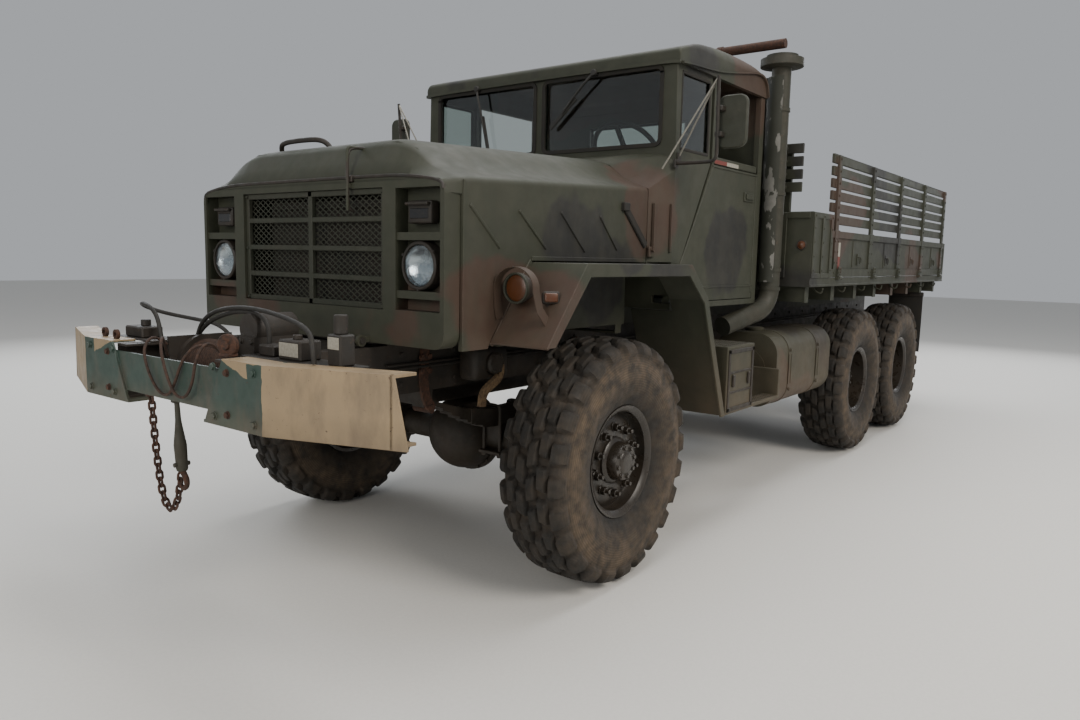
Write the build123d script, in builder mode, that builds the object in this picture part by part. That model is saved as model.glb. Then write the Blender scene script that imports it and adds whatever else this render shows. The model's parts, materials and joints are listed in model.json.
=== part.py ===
from build123d import *
import os
from math import ceil, cos, pi, radians, sin

# A 6x6 military cargo truck with a front winch, a hard-top cab and a drop-side bed with racks.
# Millimetres. X points forward, Y to the truck's left, Z up. The origin is on the ground below the middle
# of the truck. Stations along X are given from the front axle: ahead of it positive, behind it negative.

os.makedirs("parts", exist_ok=True)

# Overall reach from the front axle, which sets where the axle stands
front_reach = 1710.0
bed_rear = -6611.0
hinge_pin_radius = 8.0
hinge_loop_radius = 14.0
hinge_axis_out = 17.0
rear_reach = -bed_rear + hinge_axis_out + hinge_loop_radius
axle_x = (rear_reach - front_reach) / 2

# Clearances
move_gap = 6.0
seat_gap = 0.3
running_gap = 0.06
hinge_gap = 2.5

# Wheels
tyre_radius = 616.0
tyre_width = 380.0
track = 2046.0
rear_axle_stations = (-3861.0, -5233.0)
rim_seat_radius = 254.0
rim_flange_radius = 282.0
rim_wall = 9.0
rim_half_width = 127.0
lug_count = 20
lug_depth = 34.0
lug_gap = 62.0
tyre_facets = 20
hub_radius = 112.0
spindle_radius = 45.0
drum_radius = 208.0
stud_count = 10
stud_pitch_radius = 167.5
stud_radius = 14.0
wheel_disc = 16.0

# Frame
rail_out = 430.0
rail_flange = 80.0
rail_web = 10.0
frame_bottom = 962.0
frame_top = 1198.0
rail_front = front_reach - 24.0
rail_rear = -6500.0
cross_depth = 60.0
cross_bottom = 1118.0
cross_stations = (1225.0, 850.0, -700.0, -2160.0, -2600.0, -3400.0, -4547.0, -5650.0, -6470.0)

# Bumper
bumper_bottom = 950.0
bumper_top = 1210.0
bumper_sheet = 12.0
bumper_flange = 110.0
bumper_sweep_y = 690.0
bumper_half = 1190.0
bumper_sweep = 170.0
bumper_inner_low = 300.0
bumper_inner_high = 440.0
bumper_bar_bottom = 1000.0
bumper_bar_top = 1168.0

# Axles and steering
housing_radius = 78.0
bowl_radius = 210.0
bowl_y = 105.0
kingpin_y = 800.0
kingpin_radius = 26.0
knuckle_radius = 96.0
knuckle_half = 118.0
yoke_plate = 26.0
steer_arm = 210.0
arm_thick = 28.0
tie_rod_radius = 18.0
tie_eye_radius = 34.0

# Springs
spring_y = 390.0
spring_width = 84.0
leaf_thick = 12.0
front_spring_half = 640.0
front_spring_seat = tyre_radius + housing_radius
bogie_station = sum(rear_axle_stations) / 2

# Hood and grille shell
shell_front = 990.0
shell_back = 897.0
shell_half = 889.0
shell_bottom = 1222.0
shell_top = 1923.0
mesh_half = 520.0
mesh_bottom = 1372.0
mesh_top = 1896.0
bay_inner = 602.0
bay_outer = 866.0
bay_bottom = 1376.0
bay_top = 1890.0
lamp_y = 728.0
lamp_z = 1567.0
lamp_radius = 89.0
lamp_ring_radius = 104.0
hood_wall = 22.0
hood_rear = -600.0
hood_half = 900.0
hood_skirt = 1212.0
hood_hinge_x = 1035.0
hood_hinge_z = 1232.0
hood_pin_radius = 14.0

# Fenders: the outer line of the bent sheet, seen from the side
fender_sheet = 14.0
fender_out = 1213.0
fender_top = 1590.0
fender_nose = (712.0, 1236.0)
fender_line = (fender_nose, (430.0, fender_top), (-560.0, fender_top), (-770.0, 1400.0), (-1060.0, 700.0))
fender_skirt = 60.0
apron_y = 790.0
apron_bottom = 1248.0

# Cab
cab_half = 970.0
cab_wall = 40.0
cab_rear = -1985.0
cab_front = -769.0
cab_bottom = 1330.0
cab_floor = 1362.0
belt = 2205.0
roof_side = 2700.0
roof_front = roof_side + 88.0
roof_crown = roof_side + 170.0
roof_half = cab_half + 12.0
post_depth = 62.0
door_bottom = 1370.0
door_rear = -1915.0
door_thick = 45.0
door_top_front = -1231.0
door_low_front = -752.0
door_hinge_radius = 14.0

# Bed
bed_front = -2344.0
bed_half = 1218.0
bed_bottom = 1442.0
bed_floor_top = 1505.0
bed_wall = 45.0
bulkhead_top = 1972.0
corner_end = -2785.0
side_top = 1856.0
rack_top = 2420.0
slat_pitch = 89.0
slat_height = 68.0
slat_thick = 22.0
stake_width = 70.0
stake_thick = 34.0
stake_count = 5
sill_width = 70.0


def block(x0, x1, y0, y1, z0, z1, mode=Mode.ADD):
    """A box between two stations from the front axle, two widths and two heights."""
    with Locations((axle_x + (x0 + x1) / 2, (y0 + y1) / 2, (z0 + z1) / 2)):
        Box(abs(x1 - x0), abs(y1 - y0), abs(z1 - z0), mode=mode)


def side_plate(points, y0, y1, mode=Mode.ADD):
    """A plate standing along the truck: points are (station, height), its faces at y0 and y1."""
    with BuildSketch(Plane.XZ.offset(-max(y0, y1))) as outline:
        Polygon(*[(axle_x + x, z) for x, z in points], align=None)
    extrude(outline.sketch, amount=abs(y1 - y0), mode=mode)


def cross_plate(points, x0, x1, mode=Mode.ADD):
    """A plate standing across the truck: points are (width, height), its faces at stations x0 and x1."""
    with BuildSketch(Plane.YZ.offset(axle_x + min(x0, x1))) as outline:
        Polygon(*points, align=None)
    extrude(outline.sketch, amount=abs(x1 - x0), mode=mode)


def flat_plate(points, z0, z1, mode=Mode.ADD):
    """A plate lying level: points are (station, width), its faces at heights z0 and z1."""
    with BuildSketch(Plane.XY.offset(min(z0, z1))) as outline:
        Polygon(*[(axle_x + x, y) for x, y in points], align=None)
    extrude(outline.sketch, amount=abs(z1 - z0), mode=mode)


def rod_y(x, z, y0, y1, radius, mode=Mode.ADD):
    """A round bar across the truck."""
    with Locations(Location((axle_x + x, (y0 + y1) / 2, z), (90, 0, 0))):
        Cylinder(radius, abs(y1 - y0), mode=mode)


def rod_x(y, z, x0, x1, radius, mode=Mode.ADD):
    """A round bar along the truck."""
    with Locations(Location((axle_x + (x0 + x1) / 2, y, z), (0, 90, 0))):
        Cylinder(radius, abs(x1 - x0), mode=mode)


def rod_z(x, y, z0, z1, radius, mode=Mode.ADD):
    """An upright round bar."""
    with Locations((axle_x + x, y, (z0 + z1) / 2)):
        Cylinder(radius, abs(z1 - z0), mode=mode)


def tube(points, bend, radius):
    """A round tube along straight runs joined by arcs; points are (station, width, height)."""
    with BuildLine() as route:
        FilletPolyline(*[(axle_x + x, y, z) for x, y, z in points], radius=bend)
    with BuildSketch(Plane(route.line @ 0, z_dir=route.line % 0)) as ring:
        Circle(radius)
    sweep(ring.sketch, path=route.line)


def save(piece, name):
    """Name a finished piece and write it."""
    piece.part.label = name
    export_step(piece.part, f"parts/{name}.step")


# Frame: two channel rails with their cross-members, the hood's hinge stands, towing eyes and the pintle hook
eye_bore = 17.5
eye_radius = 45.0
eye_station = rail_rear - eye_radius - 1
eye_height = 1040.0
eye_thick = 30.0
with BuildPart() as frame_rails:
    for side in (1, -1):
        block(rail_rear, rail_front, side * (rail_out - rail_web), side * rail_out, frame_bottom, frame_top)
        for z0 in (frame_bottom, frame_top - rail_web):
            block(rail_rear, rail_front, side * (rail_out - rail_flange), side * rail_out, z0, z0 + rail_web)
    for station in cross_stations:
        reach = rail_out - rail_web
        block(station - cross_depth / 2, station + cross_depth / 2, -reach, reach,
              cross_bottom, frame_top - rail_web)
    for side in (1, -1):
        block(hood_hinge_x - 40, hood_hinge_x + 40, side * 350, side * 404, frame_top, frame_top + 8)
        block(hood_hinge_x - 20, hood_hinge_x + 20, side * 340, side * 404, frame_top, hood_hinge_z + 12)
        rod_y(hood_hinge_x, hood_hinge_z, side * 290, side * 446, hood_pin_radius)
        inner = side * (rail_out - eye_thick)
        block(eye_station, rail_rear, inner, side * rail_out, eye_height - eye_radius,
              eye_height + eye_radius)
        rod_y(eye_station, eye_height, inner, side * rail_out, eye_radius)
        rod_y(eye_station, eye_height, inner, side * rail_out, eye_bore, mode=Mode.SUBTRACT)
    block(rail_rear - 20, rail_rear, -110, 110, 990, 1188)
    rod_x(0, 1080, rail_rear - 75, rail_rear - 20, 45)
    block(rail_rear - 115, rail_rear - 75, -30, 30, 1010, 1150)
save(frame_rails, "frame_rails")

# Bumper: two deep end sections with swept ends, joined by a shallower bar
with BuildPart() as bumper:
    end_x = front_reach - bumper_sweep
    for side in (1, -1):
        outer = [(front_reach, side * bumper_inner_low), (front_reach, side * bumper_sweep_y),
                 (end_x, side * bumper_half)]
        web = outer + [(x - bumper_sheet, y) for x, y in reversed(outer)]
        flat_plate(web, bumper_bottom, bumper_top)
        slant = [(side * (bumper_inner_low - 5), bumper_bottom - 5),
                 (side * bumper_inner_low, bumper_bottom - 5),
                 (side * bumper_inner_high, bumper_top + 5), (side * (bumper_inner_low - 5), bumper_top + 5)]
        cross_plate(slant, front_reach - bumper_sheet - 1, front_reach + 1, mode=Mode.SUBTRACT)
        for z0, inner in ((bumper_bottom, bumper_inner_low), (bumper_top - bumper_sheet, bumper_inner_high)):
            flange = [(front_reach, side * inner), (front_reach, side * bumper_sweep_y),
                      (end_x, side * bumper_half), (end_x - bumper_flange, side * bumper_half),
                      (front_reach - bumper_flange, side * bumper_sweep_y),
                      (front_reach - bumper_flange, side * inner)]
            flat_plate(flange, z0, z0 + bumper_sheet)
    block(rail_front, rail_front + bumper_sheet, -bumper_inner_high, bumper_inner_high,
          bumper_bar_bottom, bumper_bar_top)
save(bumper, "bumper")

# Winch: side plates, a rope-wound drum and its gear case, carried by the first cross-member
winch_back = cross_stations[0] + cross_depth / 2
winch_x = 1400.0
winch_z = 1110.0
with BuildPart() as winch:
    block(winch_back, winch_back + 14, -345, 345, frame_bottom + 20, frame_top)
    for y0 in (-239, 225):
        block(winch_back, 1560, y0, y0 + 14, 985, 1235)
    rod_y(winch_x, winch_z, -225, 225, 92)
    for y0 in (-225, 195):
        rod_y(winch_x, winch_z, y0, y0 + 30, 128)
    block(1290, 1510, 239, 344, 1000, 1270)
    rod_y(winch_x, winch_z, -344, -239, 80)
    rod_x(290, 1300, 1300, 1500, 62)
save(winch, "winch")

# Tow chain: a loop of links hanging from the bumper bar, with its hook and wire-rope socket
link_wire = 11.0
link_length = 60.0
link_width = 38.0
link_play = 0.6
link_pitch = link_length - 2 * link_wire - link_play
chain_x = rail_front - 22.0
chain_route = ((-193, 990), (-170, 760), (-130, 560), (-60, 500), (0, 560), (35, 690))
with BuildPart() as tow_chain:
    with BuildLine() as hang:
        Polyline(*[(axle_x + chain_x, y, z) for y, z in chain_route])
    hang_line = hang.wire()
    link_count = ceil(hang_line.length / link_pitch)
    joints = [hang_line @ (joint / link_count) for joint in range(link_count + 1)]
    for number, (start, end) in enumerate(zip(joints, joints[1:])):
        along = (end - start).normalized()
        face = Vector(1, 0, 0) if number % 2 else along.cross(Vector(1, 0, 0))
        with BuildSketch(Plane((start + end) / 2, x_dir=along, z_dir=face).offset(-link_wire / 2)) as link:
            Rectangle(link_length, link_width)
            Rectangle(link_length - 2 * link_wire, link_width - 2 * link_wire, mode=Mode.SUBTRACT)
        extrude(link.sketch, amount=link_wire)
    block(chain_x - 22, chain_x + 22, 22, 66, 690, 880)
    block(chain_x - 12, rail_front, 10, 36, 870, 1015)
    block(chain_x - 12, rail_front, -205, -181, 985, 1015)
save(tow_chain, "tow_chain")

# Engine: one plain block, with the radiator ahead of it
with BuildPart() as engine_block:
    block(-560, 560, -320, 320, frame_top, 1800)
    block(-560, 560, -300, 300, 860, frame_top)
    for station in (350, -350):
        block(station - 40, station + 40, -rail_out, rail_out, frame_top, frame_top + 30)
save(engine_block, "engine_block")

with BuildPart() as radiator:
    block(820, 880, -430, 430, frame_top, 1850)
    block(760, 820, -300, 300, 1250, 1790)
save(radiator, "radiator")

# Drive line: gearbox, transfer case and propeller shafts
shaft_z = 640.0
pinion_end = -240.0
gearbox_top = cross_bottom - 8.0
with BuildPart() as drive_line:
    block(-1350, -560, -210, 210, 860, gearbox_top)
    block(-2050, -1350, -230, 230, 640, gearbox_top)
    rod_x(bowl_y, shaft_z, -1350, pinion_end, 42)
    rod_x(0, 860, -2100, -2050, 70)
    rod_x(0, 700, -3600, -2050, 50)
    rod_x(0, 700, -4980, -4100, 46)
save(drive_line, "drive_line")


def axle_housing(station, bowl, half_span):
    """A tube with a round differential bowl and its pinion nose towards the rear."""
    rod_y(station, tyre_radius, -half_span, half_span, housing_radius)
    with Locations((axle_x + station, bowl, tyre_radius)):
        Sphere(bowl_radius)


# Front axle: housing with an open yoke at each end that holds the kingpin
with BuildPart() as front_axle:
    axle_housing(0, bowl_y, kingpin_y - 150)
    for side in (1, -1):
        block(-75, 75, side * (kingpin_y - 190), side * (kingpin_y - 125),
              tyre_radius - knuckle_half - hinge_gap - yoke_plate,
              tyre_radius + knuckle_half + hinge_gap + yoke_plate)
        for level in (1, -1):
            z0 = tyre_radius + level * (knuckle_half + hinge_gap)
            z1 = z0 + level * yoke_plate
            block(-75, 75, side * (kingpin_y - 130), side * kingpin_y, z0, z1)
            rod_z(0, side * kingpin_y, z0, z1, 75)
            rod_z(0, side * kingpin_y, z0, z1, kingpin_radius + running_gap, mode=Mode.SUBTRACT)
    rod_x(bowl_y, shaft_z, pinion_end, -120, 60)
save(front_axle, "front_axle")

with BuildPart() as rear_axles:
    for station in rear_axle_stations:
        axle_housing(station, 0, track / 2 - 150)
        for side in (1, -1):
            rod_y(station, tyre_radius, side * (track / 2 - 150), side * (track / 2 + 30), spindle_radius)
    rod_x(0, 700, rear_axle_stations[0], -3600, 62)
    rod_x(0, 700, -4100, rear_axle_stations[0], 62)
    rod_x(0, 700, rear_axle_stations[1], -4980, 62)
save(rear_axles, "rear_axles")


def leaf_pack(middle, seat, half, sag, leaves, side):
    """Nested curved leaves, each shorter than the last; sag is how far the ends rise above the middle."""
    radius = (half ** 2 + sag ** 2) / (2 * abs(sag))
    up = 1 if sag > 0 else -1
    for leaf in range(leaves):
        inner = radius + leaf * leaf_thick
        reach = half * (1 - 0.75 * leaf / leaves)
        with BuildSketch(Plane.XZ.offset(-(side * spring_y + spring_width / 2))) as outline:
            with Locations((axle_x + middle, seat + up * (radius + leaves * leaf_thick))):
                Circle(inner + leaf_thick)
                Circle(inner, mode=Mode.SUBTRACT)
            with Locations((axle_x + middle, seat)):
                Rectangle(2 * reach, 4 * abs(sag), mode=Mode.INTERSECT)
        extrude(outline.sketch, amount=spring_width)


# Leaf springs: one curved pack under each rail at the front axle, one flat pack over the two rear axles
front_leaves = 8
front_sag = 130.0
with BuildPart() as leaf_springs:
    for side in (1, -1):
        leaf_pack(0, front_spring_seat + 10, front_spring_half, front_sag, front_leaves, side)
        block(-90, 90, side * spring_y - 50, side * spring_y + 50, tyre_radius, front_spring_seat + 12)
        for end in (1, -1):
            x = end * (front_spring_half - 18)
            block(x - 30, x + 30, side * spring_y - 40, side * spring_y + 40, 880, frame_bottom)
        rod_y(bogie_station, 760, side * 330, side * 480, 85)
        block(bogie_station - 80, bogie_station + 80, side * spring_y - 40, side * spring_y + 40,
              760, frame_bottom)
        block(rear_axle_stations[1] - 60, rear_axle_stations[0] + 60, side * spring_y - 42,
              side * spring_y + 42, 790, 850)
        for station in rear_axle_stations:
            block(station - 60, station + 60, side * spring_y - 50, side * spring_y + 50, tyre_radius, 800)
    for station in (0.0,) + rear_axle_stations:
        rod_y(station, tyre_radius, -700, 700, housing_radius, mode=Mode.SUBTRACT)
save(leaf_springs, "leaf_springs")

# Knuckles: kingpins in the yoke, a rearward steering arm and the spindle that carries the wheel
arm_top = tyre_radius - knuckle_half + arm_thick
for side, name in ((1, "left"), (-1, "right")):
    with BuildPart() as knuckle:
        rod_z(0, side * kingpin_y, tyre_radius - knuckle_half, tyre_radius + knuckle_half, knuckle_radius)
        rod_z(0, side * kingpin_y, tyre_radius - knuckle_half - hinge_gap - yoke_plate,
              tyre_radius + knuckle_half + hinge_gap + yoke_plate, kingpin_radius)
        rod_y(0, tyre_radius, side * kingpin_y, side * (track / 2 - 145), 90)
        rod_y(0, tyre_radius, side * (track / 2 - 145), side * (track / 2 + 90), spindle_radius)
        block(-steer_arm, 0, side * kingpin_y - 24, side * kingpin_y + 24, arm_top - arm_thick, arm_top)
        rod_z(-steer_arm, side * kingpin_y, arm_top - arm_thick, arm_top, tie_eye_radius)
    save(knuckle, f"knuckle_{name}")

# Tie rod: joins the two steering arms behind the axle, its eyes just under the arms
tie_z = arm_top - arm_thick - seat_gap - 15.0
with BuildPart() as tie_rod:
    rod_y(-steer_arm, tie_z, -kingpin_y + 20, kingpin_y - 20, tie_rod_radius - 4)
    for side in (1, -1):
        rod_z(-steer_arm, side * kingpin_y, tie_z - 15, tie_z + 15, tie_eye_radius)
save(tie_rod, "tie_rod")


def corner_ring(offset, radius):
    """Corners of one many-sided section of a tyre, at a distance across from the middle of the left wheel."""
    turns = [radians(360.0 / tyre_facets * facet) for facet in range(tyre_facets)]
    return [Vector(axle_x + radius * sin(turn), wheel_y + offset, tyre_radius + radius * cos(turn))
            for turn in turns]


# Tyre pattern at the left front place: many-sided carcass, two rows of offset lugs, dished around the rim
half_width = tyre_width / 2
wheel_y = track / 2
bead_radius = (rim_seat_radius + seat_gap) / cos(pi / tyre_facets)
bead_half = rim_half_width - 14
carcass_table = (
    # across from the middle, radius
    (-half_width, 430.0),
    (-half_width + 30, tyre_radius),
    (half_width - 30, tyre_radius),
    (half_width, 430.0),
    (bead_half, bead_radius),
    (-bead_half, bead_radius),
)
rings = [corner_ring(offset, radius) for offset, radius in carcass_table]
facets = []
for near, far in zip(rings, rings[1:] + rings[:1]):
    for facet in range(tyre_facets):
        after = (facet + 1) % tyre_facets
        facets.append(Face(Wire.make_polygon([near[facet], near[after], far[after], far[facet]])))
carcass = Solid(Shell(facets))
with BuildPart() as tyre_pattern:
    add(carcass)
    gaps = []
    reach = tyre_radius - lug_depth / 2 + 10
    for way in (1, -1):
        for lug in range(lug_count):
            turn = 360.0 / lug_count * (lug + (0.25 if way > 0 else -0.25))
            gaps.append(Location((axle_x + reach * sin(radians(turn)), wheel_y + way * (half_width / 2 + 12),
                                  tyre_radius + reach * cos(radians(turn))), (0, turn, 0)))
    with Locations(*gaps):
        Box(lug_gap, half_width, lug_depth + 20, mode=Mode.SUBTRACT)


def rim_pattern(disc_at, hub_face, bore_end):
    """A rim at the left front place: barrel with two flanges, disc, studs, hub and brake drum."""
    with BuildPart() as rim:
        rod_y(0, tyre_radius, wheel_y - rim_half_width, wheel_y + rim_half_width, rim_seat_radius)
        for way in (1, -1):
            rod_y(0, tyre_radius, wheel_y + way * rim_half_width, wheel_y + way * (rim_half_width + 12),
                  rim_flange_radius)
        rod_y(0, tyre_radius, wheel_y - 160, wheel_y + 160, rim_seat_radius - rim_wall, mode=Mode.SUBTRACT)
        rod_y(0, tyre_radius, wheel_y + disc_at, wheel_y + disc_at + wheel_disc,
              rim_seat_radius - rim_wall / 2)
        for stud in range(stud_count):
            turn = radians(360.0 / stud_count * stud)
            rod_y(stud_pitch_radius * sin(turn), tyre_radius + stud_pitch_radius * cos(turn),
                  wheel_y + disc_at, wheel_y + disc_at + wheel_disc + 30, stud_radius)
        rod_y(0, tyre_radius, wheel_y - 60, wheel_y + hub_face, hub_radius)
        rod_y(0, tyre_radius, wheel_y - 135, wheel_y + disc_at, drum_radius)
        rod_y(0, tyre_radius, wheel_y - 136, wheel_y - 60, 125, mode=Mode.SUBTRACT)
        rod_y(0, tyre_radius, wheel_y - 137, wheel_y + bore_end, spindle_radius + running_gap,
              mode=Mode.SUBTRACT)
    return rim.part


front_rim = rim_pattern(62.0, 168.0, 91.0)
rear_rim = rim_pattern(-30.0, 66.0, 31.0)

wheel_table = (
    # name, station, side
    ("front_left", 0.0, 1),
    ("front_right", 0.0, -1),
    ("middle_left", rear_axle_stations[0], 1),
    ("middle_right", rear_axle_stations[0], -1),
    ("rear_left", rear_axle_stations[1], 1),
    ("rear_right", rear_axle_stations[1], -1),
)
for name, station, side in wheel_table:
    if side > 0:
        place = Location((station, 0, 0))
    else:
        place = Location((2 * axle_x + station, 0, 0), (0, 0, 180))
    with BuildPart() as tyre:
        add(tyre_pattern.part.moved(place))
    save(tyre, f"tyre_{name}")
    with BuildPart() as rim:
        add((front_rim if station == 0 else rear_rim).moved(place))
    save(rim, f"rim_{name}")

# Fenders: a bent sheet over each front wheel, with an outer skirt, an inner apron and frame brackets
with BuildPart() as fenders:
    for side in (1, -1):
        inner_line = [(fender_nose[0] - 12, fender_nose[1] - 8), (424.0, fender_top - fender_sheet),
                      (-554.0, fender_top - fender_sheet), (-757.0, 1393.0), (-1046.0, 700.0)]
        sheet = list(fender_line) + inner_line[::-1]
        side_plate(sheet, side * 700, side * fender_out)
        block(-2000, hood_rear - move_gap, side * 600, side * (cab_half + move_gap), cab_bottom - 8,
              fender_top + 50, mode=Mode.SUBTRACT)
        block(hood_rear - move_gap, 900, side * 600, side * apron_y, 1100, fender_top + 50,
              mode=Mode.SUBTRACT)
        skirt_line = [(fender_nose[0] - 60, fender_nose[1]), (400.0, fender_top - fender_skirt),
                      (-540.0, fender_top - fender_skirt), (-725.0, 1380.0), (-1008.0, 700.0)]
        side_plate(list(fender_line) + skirt_line[::-1], side * (fender_out - fender_sheet),
                   side * fender_out)
        apron = [(fender_nose[0] - 40, apron_bottom), (425.0, fender_top - fender_sheet / 2),
                 (-560.0, fender_top - fender_sheet / 2), (-560.0, apron_bottom)]
        side_plate(apron, side * apron_y, side * (apron_y + 8))
        for station in (500, -500):
            block(station - 30, station + 30, side * (rail_out - rail_flange), side * (apron_y + 8),
                  frame_top, frame_top + 12)
            block(station - 30, station + 30, side * apron_y, side * (apron_y + 8), frame_top,
                  apron_bottom + 20)
save(fenders, "fenders")


def across(x, half):
    """One outline across the truck at a station, from its right-hand half."""
    with BuildSketch(Plane.YZ.offset(axle_x + x)) as outline:
        Polygon(*half, *[(-y, z) for y, z in reversed(half)], align=None)
    return outline.sketch


def hood_section(x, shrink, crown, skirt):
    """The hood's outline across the truck: crown, rounded shoulder, slope, crease and side."""
    top = crown - shrink
    half = [(hood_half - shrink, skirt), (hood_half - shrink, crown - 178 - shrink),
            (hood_half - 150, crown - 128 - shrink), (hood_half - 262, crown - 36 - shrink),
            (hood_half - 380, top)]
    return across(x, half)


# Hood: a hollow shell that narrows upwards to a raised centre, open below and at both ends
crown_front = 2104.0
crown_rear = 2180.0
with BuildPart() as hood_shell:
    loft([hood_section(shell_back, 0, crown_front, hood_skirt),
          hood_section(hood_rear, 0, crown_rear, hood_skirt)])
    loft([hood_section(shell_back, hood_wall, crown_front, hood_skirt - 1),
          hood_section(hood_rear, hood_wall, crown_rear, hood_skirt - 1)], mode=Mode.SUBTRACT)
    below = [(fender_nose[0] + 8, hood_skirt - 20), (fender_nose[0] + 8, fender_nose[1]),
             (430.0, fender_top + move_gap), (hood_rear - 5, fender_top + move_gap),
             (hood_rear - 5, hood_skirt - 20)]
    side_plate(below, -hood_half - 5, hood_half + 5, mode=Mode.SUBTRACT)
    tube([(800, -60, crown_front - 8), (840, -60, crown_front + 56), (840, -450, crown_front + 56),
          (800, -450, crown_front - 8)], 24, 12)
save(hood_shell, "hood_shell")

# Grille shell: front of the hood, with a mesh opening, two lamp bays and its hinge lugs
with BuildPart() as grille_shell:
    with BuildSketch(Plane.YZ.offset(axle_x + shell_back)) as face:
        with Locations((0, (shell_bottom + shell_top) / 2)):
            RectangleRounded(2 * shell_half, shell_top - shell_bottom, 60)
    extrude(face.sketch, amount=shell_front - shell_back)
    lip = [(shell_half - 9, shell_top - 60), (shell_half - 19, shell_top - 8), (740.0, shell_top + 12),
           (630.0, shell_top + 20), (520.0, shell_top + 22)]
    loft([hood_section(shell_back, 4, crown_front, shell_top - 60), across(shell_front - 6, lip)])
    block(shell_back, shell_front, -mesh_half, mesh_half, mesh_bottom, mesh_top, mode=Mode.SUBTRACT)
    rod_out = shell_front + 16
    tube([(shell_back, 310, crown_front - 26), (rod_out, 310, crown_front - 26), (rod_out, 310, 1800)], 20, 7)
    block(shell_front - 10, rod_out, 300, 320, 1900, 1920)
    for side in (1, -1):
        block(shell_back + 20, shell_front, side * bay_inner, side * bay_outer, bay_bottom, bay_top,
              mode=Mode.SUBTRACT)
        for z0, z1 in ((1427, 1460), (1673, 1706)):
            block(shell_back, shell_front - 8, side * bay_inner, side * bay_outer, z0, z1)
        for y0 in (300, 420):
            block(shell_front - 20, hood_hinge_x, side * y0, side * (y0 + 16), hood_hinge_z - 8,
                  hood_hinge_z + 18)
            rod_y(hood_hinge_x, hood_hinge_z, side * y0, side * (y0 + 16), 26)
            rod_y(hood_hinge_x, hood_hinge_z, side * y0, side * (y0 + 16), hood_pin_radius + running_gap,
                  mode=Mode.SUBTRACT)
save(grille_shell, "grille_shell")

# Mesh grille: one upright and three level bars over expanded metal
with BuildPart() as grille_mesh:
    block(940, 948, -mesh_half, mesh_half, mesh_bottom, mesh_top)
    block(948, 972, -14, 14, mesh_bottom, mesh_top)
    for row in (1, 2, 3):
        z = mesh_bottom + (mesh_top - mesh_bottom) * row / 4
        block(948, 972, -mesh_half, mesh_half, z - 11, z + 11)
save(grille_mesh, "grille_mesh")

with BuildPart() as headlamps:
    for side in (1, -1):
        rod_x(side * lamp_y, lamp_z, shell_back + 20, shell_front - 20, lamp_ring_radius)
        rod_x(side * lamp_y, lamp_z, shell_front - 20, shell_front - 8, lamp_radius)
save(headlamps, "headlamps")

# Cab tub: cowl, floor, sides, back, door openings with their hinge pins, and seat bases
door_hinge_x = -850.0
door_hinge_y = 992.0
hinge_heights = (1475.0, 1555.0)
ear_foot = -786.0
ear_front = -745.0
seat_table = (
    # inner edge, outer edge
    (240.0, 760.0),
    (-860.0, 60.0),
)
crease_rear = crown_rear - 178
cowl_front = hood_rear - move_gap
with BuildPart() as cab_tub:
    hood_line = [(hood_half, 1600.0), (hood_half, crease_rear), (hood_half - 150, crown_rear - 128),
                 (hood_half - 262, crown_rear - 36), (hood_half - 380, crown_rear)]
    shield_line = [(cab_half, 1600.0), (cab_half, belt - 90), (cab_half - 20, belt - 30),
                   (cab_half - 80, belt), (cab_half - 200, belt + 15)]
    loft([across(cowl_front, hood_line), across(cab_front, shield_line)])
    block(cowl_front, cab_front + 30, -850, 850, 1500, 1960, mode=Mode.SUBTRACT)
    block(cab_rear, cab_front, -cab_half, cab_half, cab_bottom, belt)
    block(cab_front, cowl_front, -cab_half + 70, cab_half - 70, 1560, 1600)
    block(cab_rear + cab_wall, cab_front - 30, -cab_half + cab_wall, cab_half - cab_wall,
          cab_floor, belt + 50, mode=Mode.SUBTRACT)
    door_hole = [(door_low_front + 8, door_bottom - hinge_gap * 2), (door_top_front + 6, belt + 20),
                 (door_rear - move_gap, belt + 20), (door_rear - move_gap, door_bottom - hinge_gap * 2)]
    for side in (1, -1):
        side_plate(door_hole, side * (cab_half - 120), side * (cab_half + 10), mode=Mode.SUBTRACT)
    for side in (1, -1):
        block(-1930, -820, side * 350, side * rail_out, frame_top, cab_bottom)
        for z in hinge_heights:
            rod_z(door_hinge_x, side * door_hinge_y, z - 32, z + 32, 8)
            for way in (1, -1):
                rod_z(door_hinge_x, side * door_hinge_y, z + way * 19, z + way * 32, door_hinge_radius)
                block(door_hinge_x, ear_front, side * (cab_half + move_gap), side * (door_hinge_y + 8),
                      z + way * 19, z + way * 32)
                block(ear_foot, ear_front, side * cab_half, side * (door_hinge_y + 8),
                      z + way * 19, z + way * 32)
    for y0, y1 in seat_table:
        block(-1800, -1380, y0 + 30, y1 - 30, cab_floor, 1690)
save(cab_tub, "cab_tub")


# Upper cab back and rear posts stand on the tub
rear_window = (420.0, belt + 115.0, roof_side - 100.0)
with BuildPart() as cab_back:
    block(cab_rear, cab_rear + cab_wall, -cab_half, cab_half, belt, roof_side)
    half, low, high = rear_window
    block(cab_rear - 5, cab_rear + cab_wall + 5, -half, half, low, high, mode=Mode.SUBTRACT)
    for side in (1, -1):
        block(cab_rear + cab_wall, door_rear - move_gap - 2, side * (cab_half - cab_wall), side * cab_half,
              belt, roof_side)
save(cab_back, "cab_back")

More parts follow.
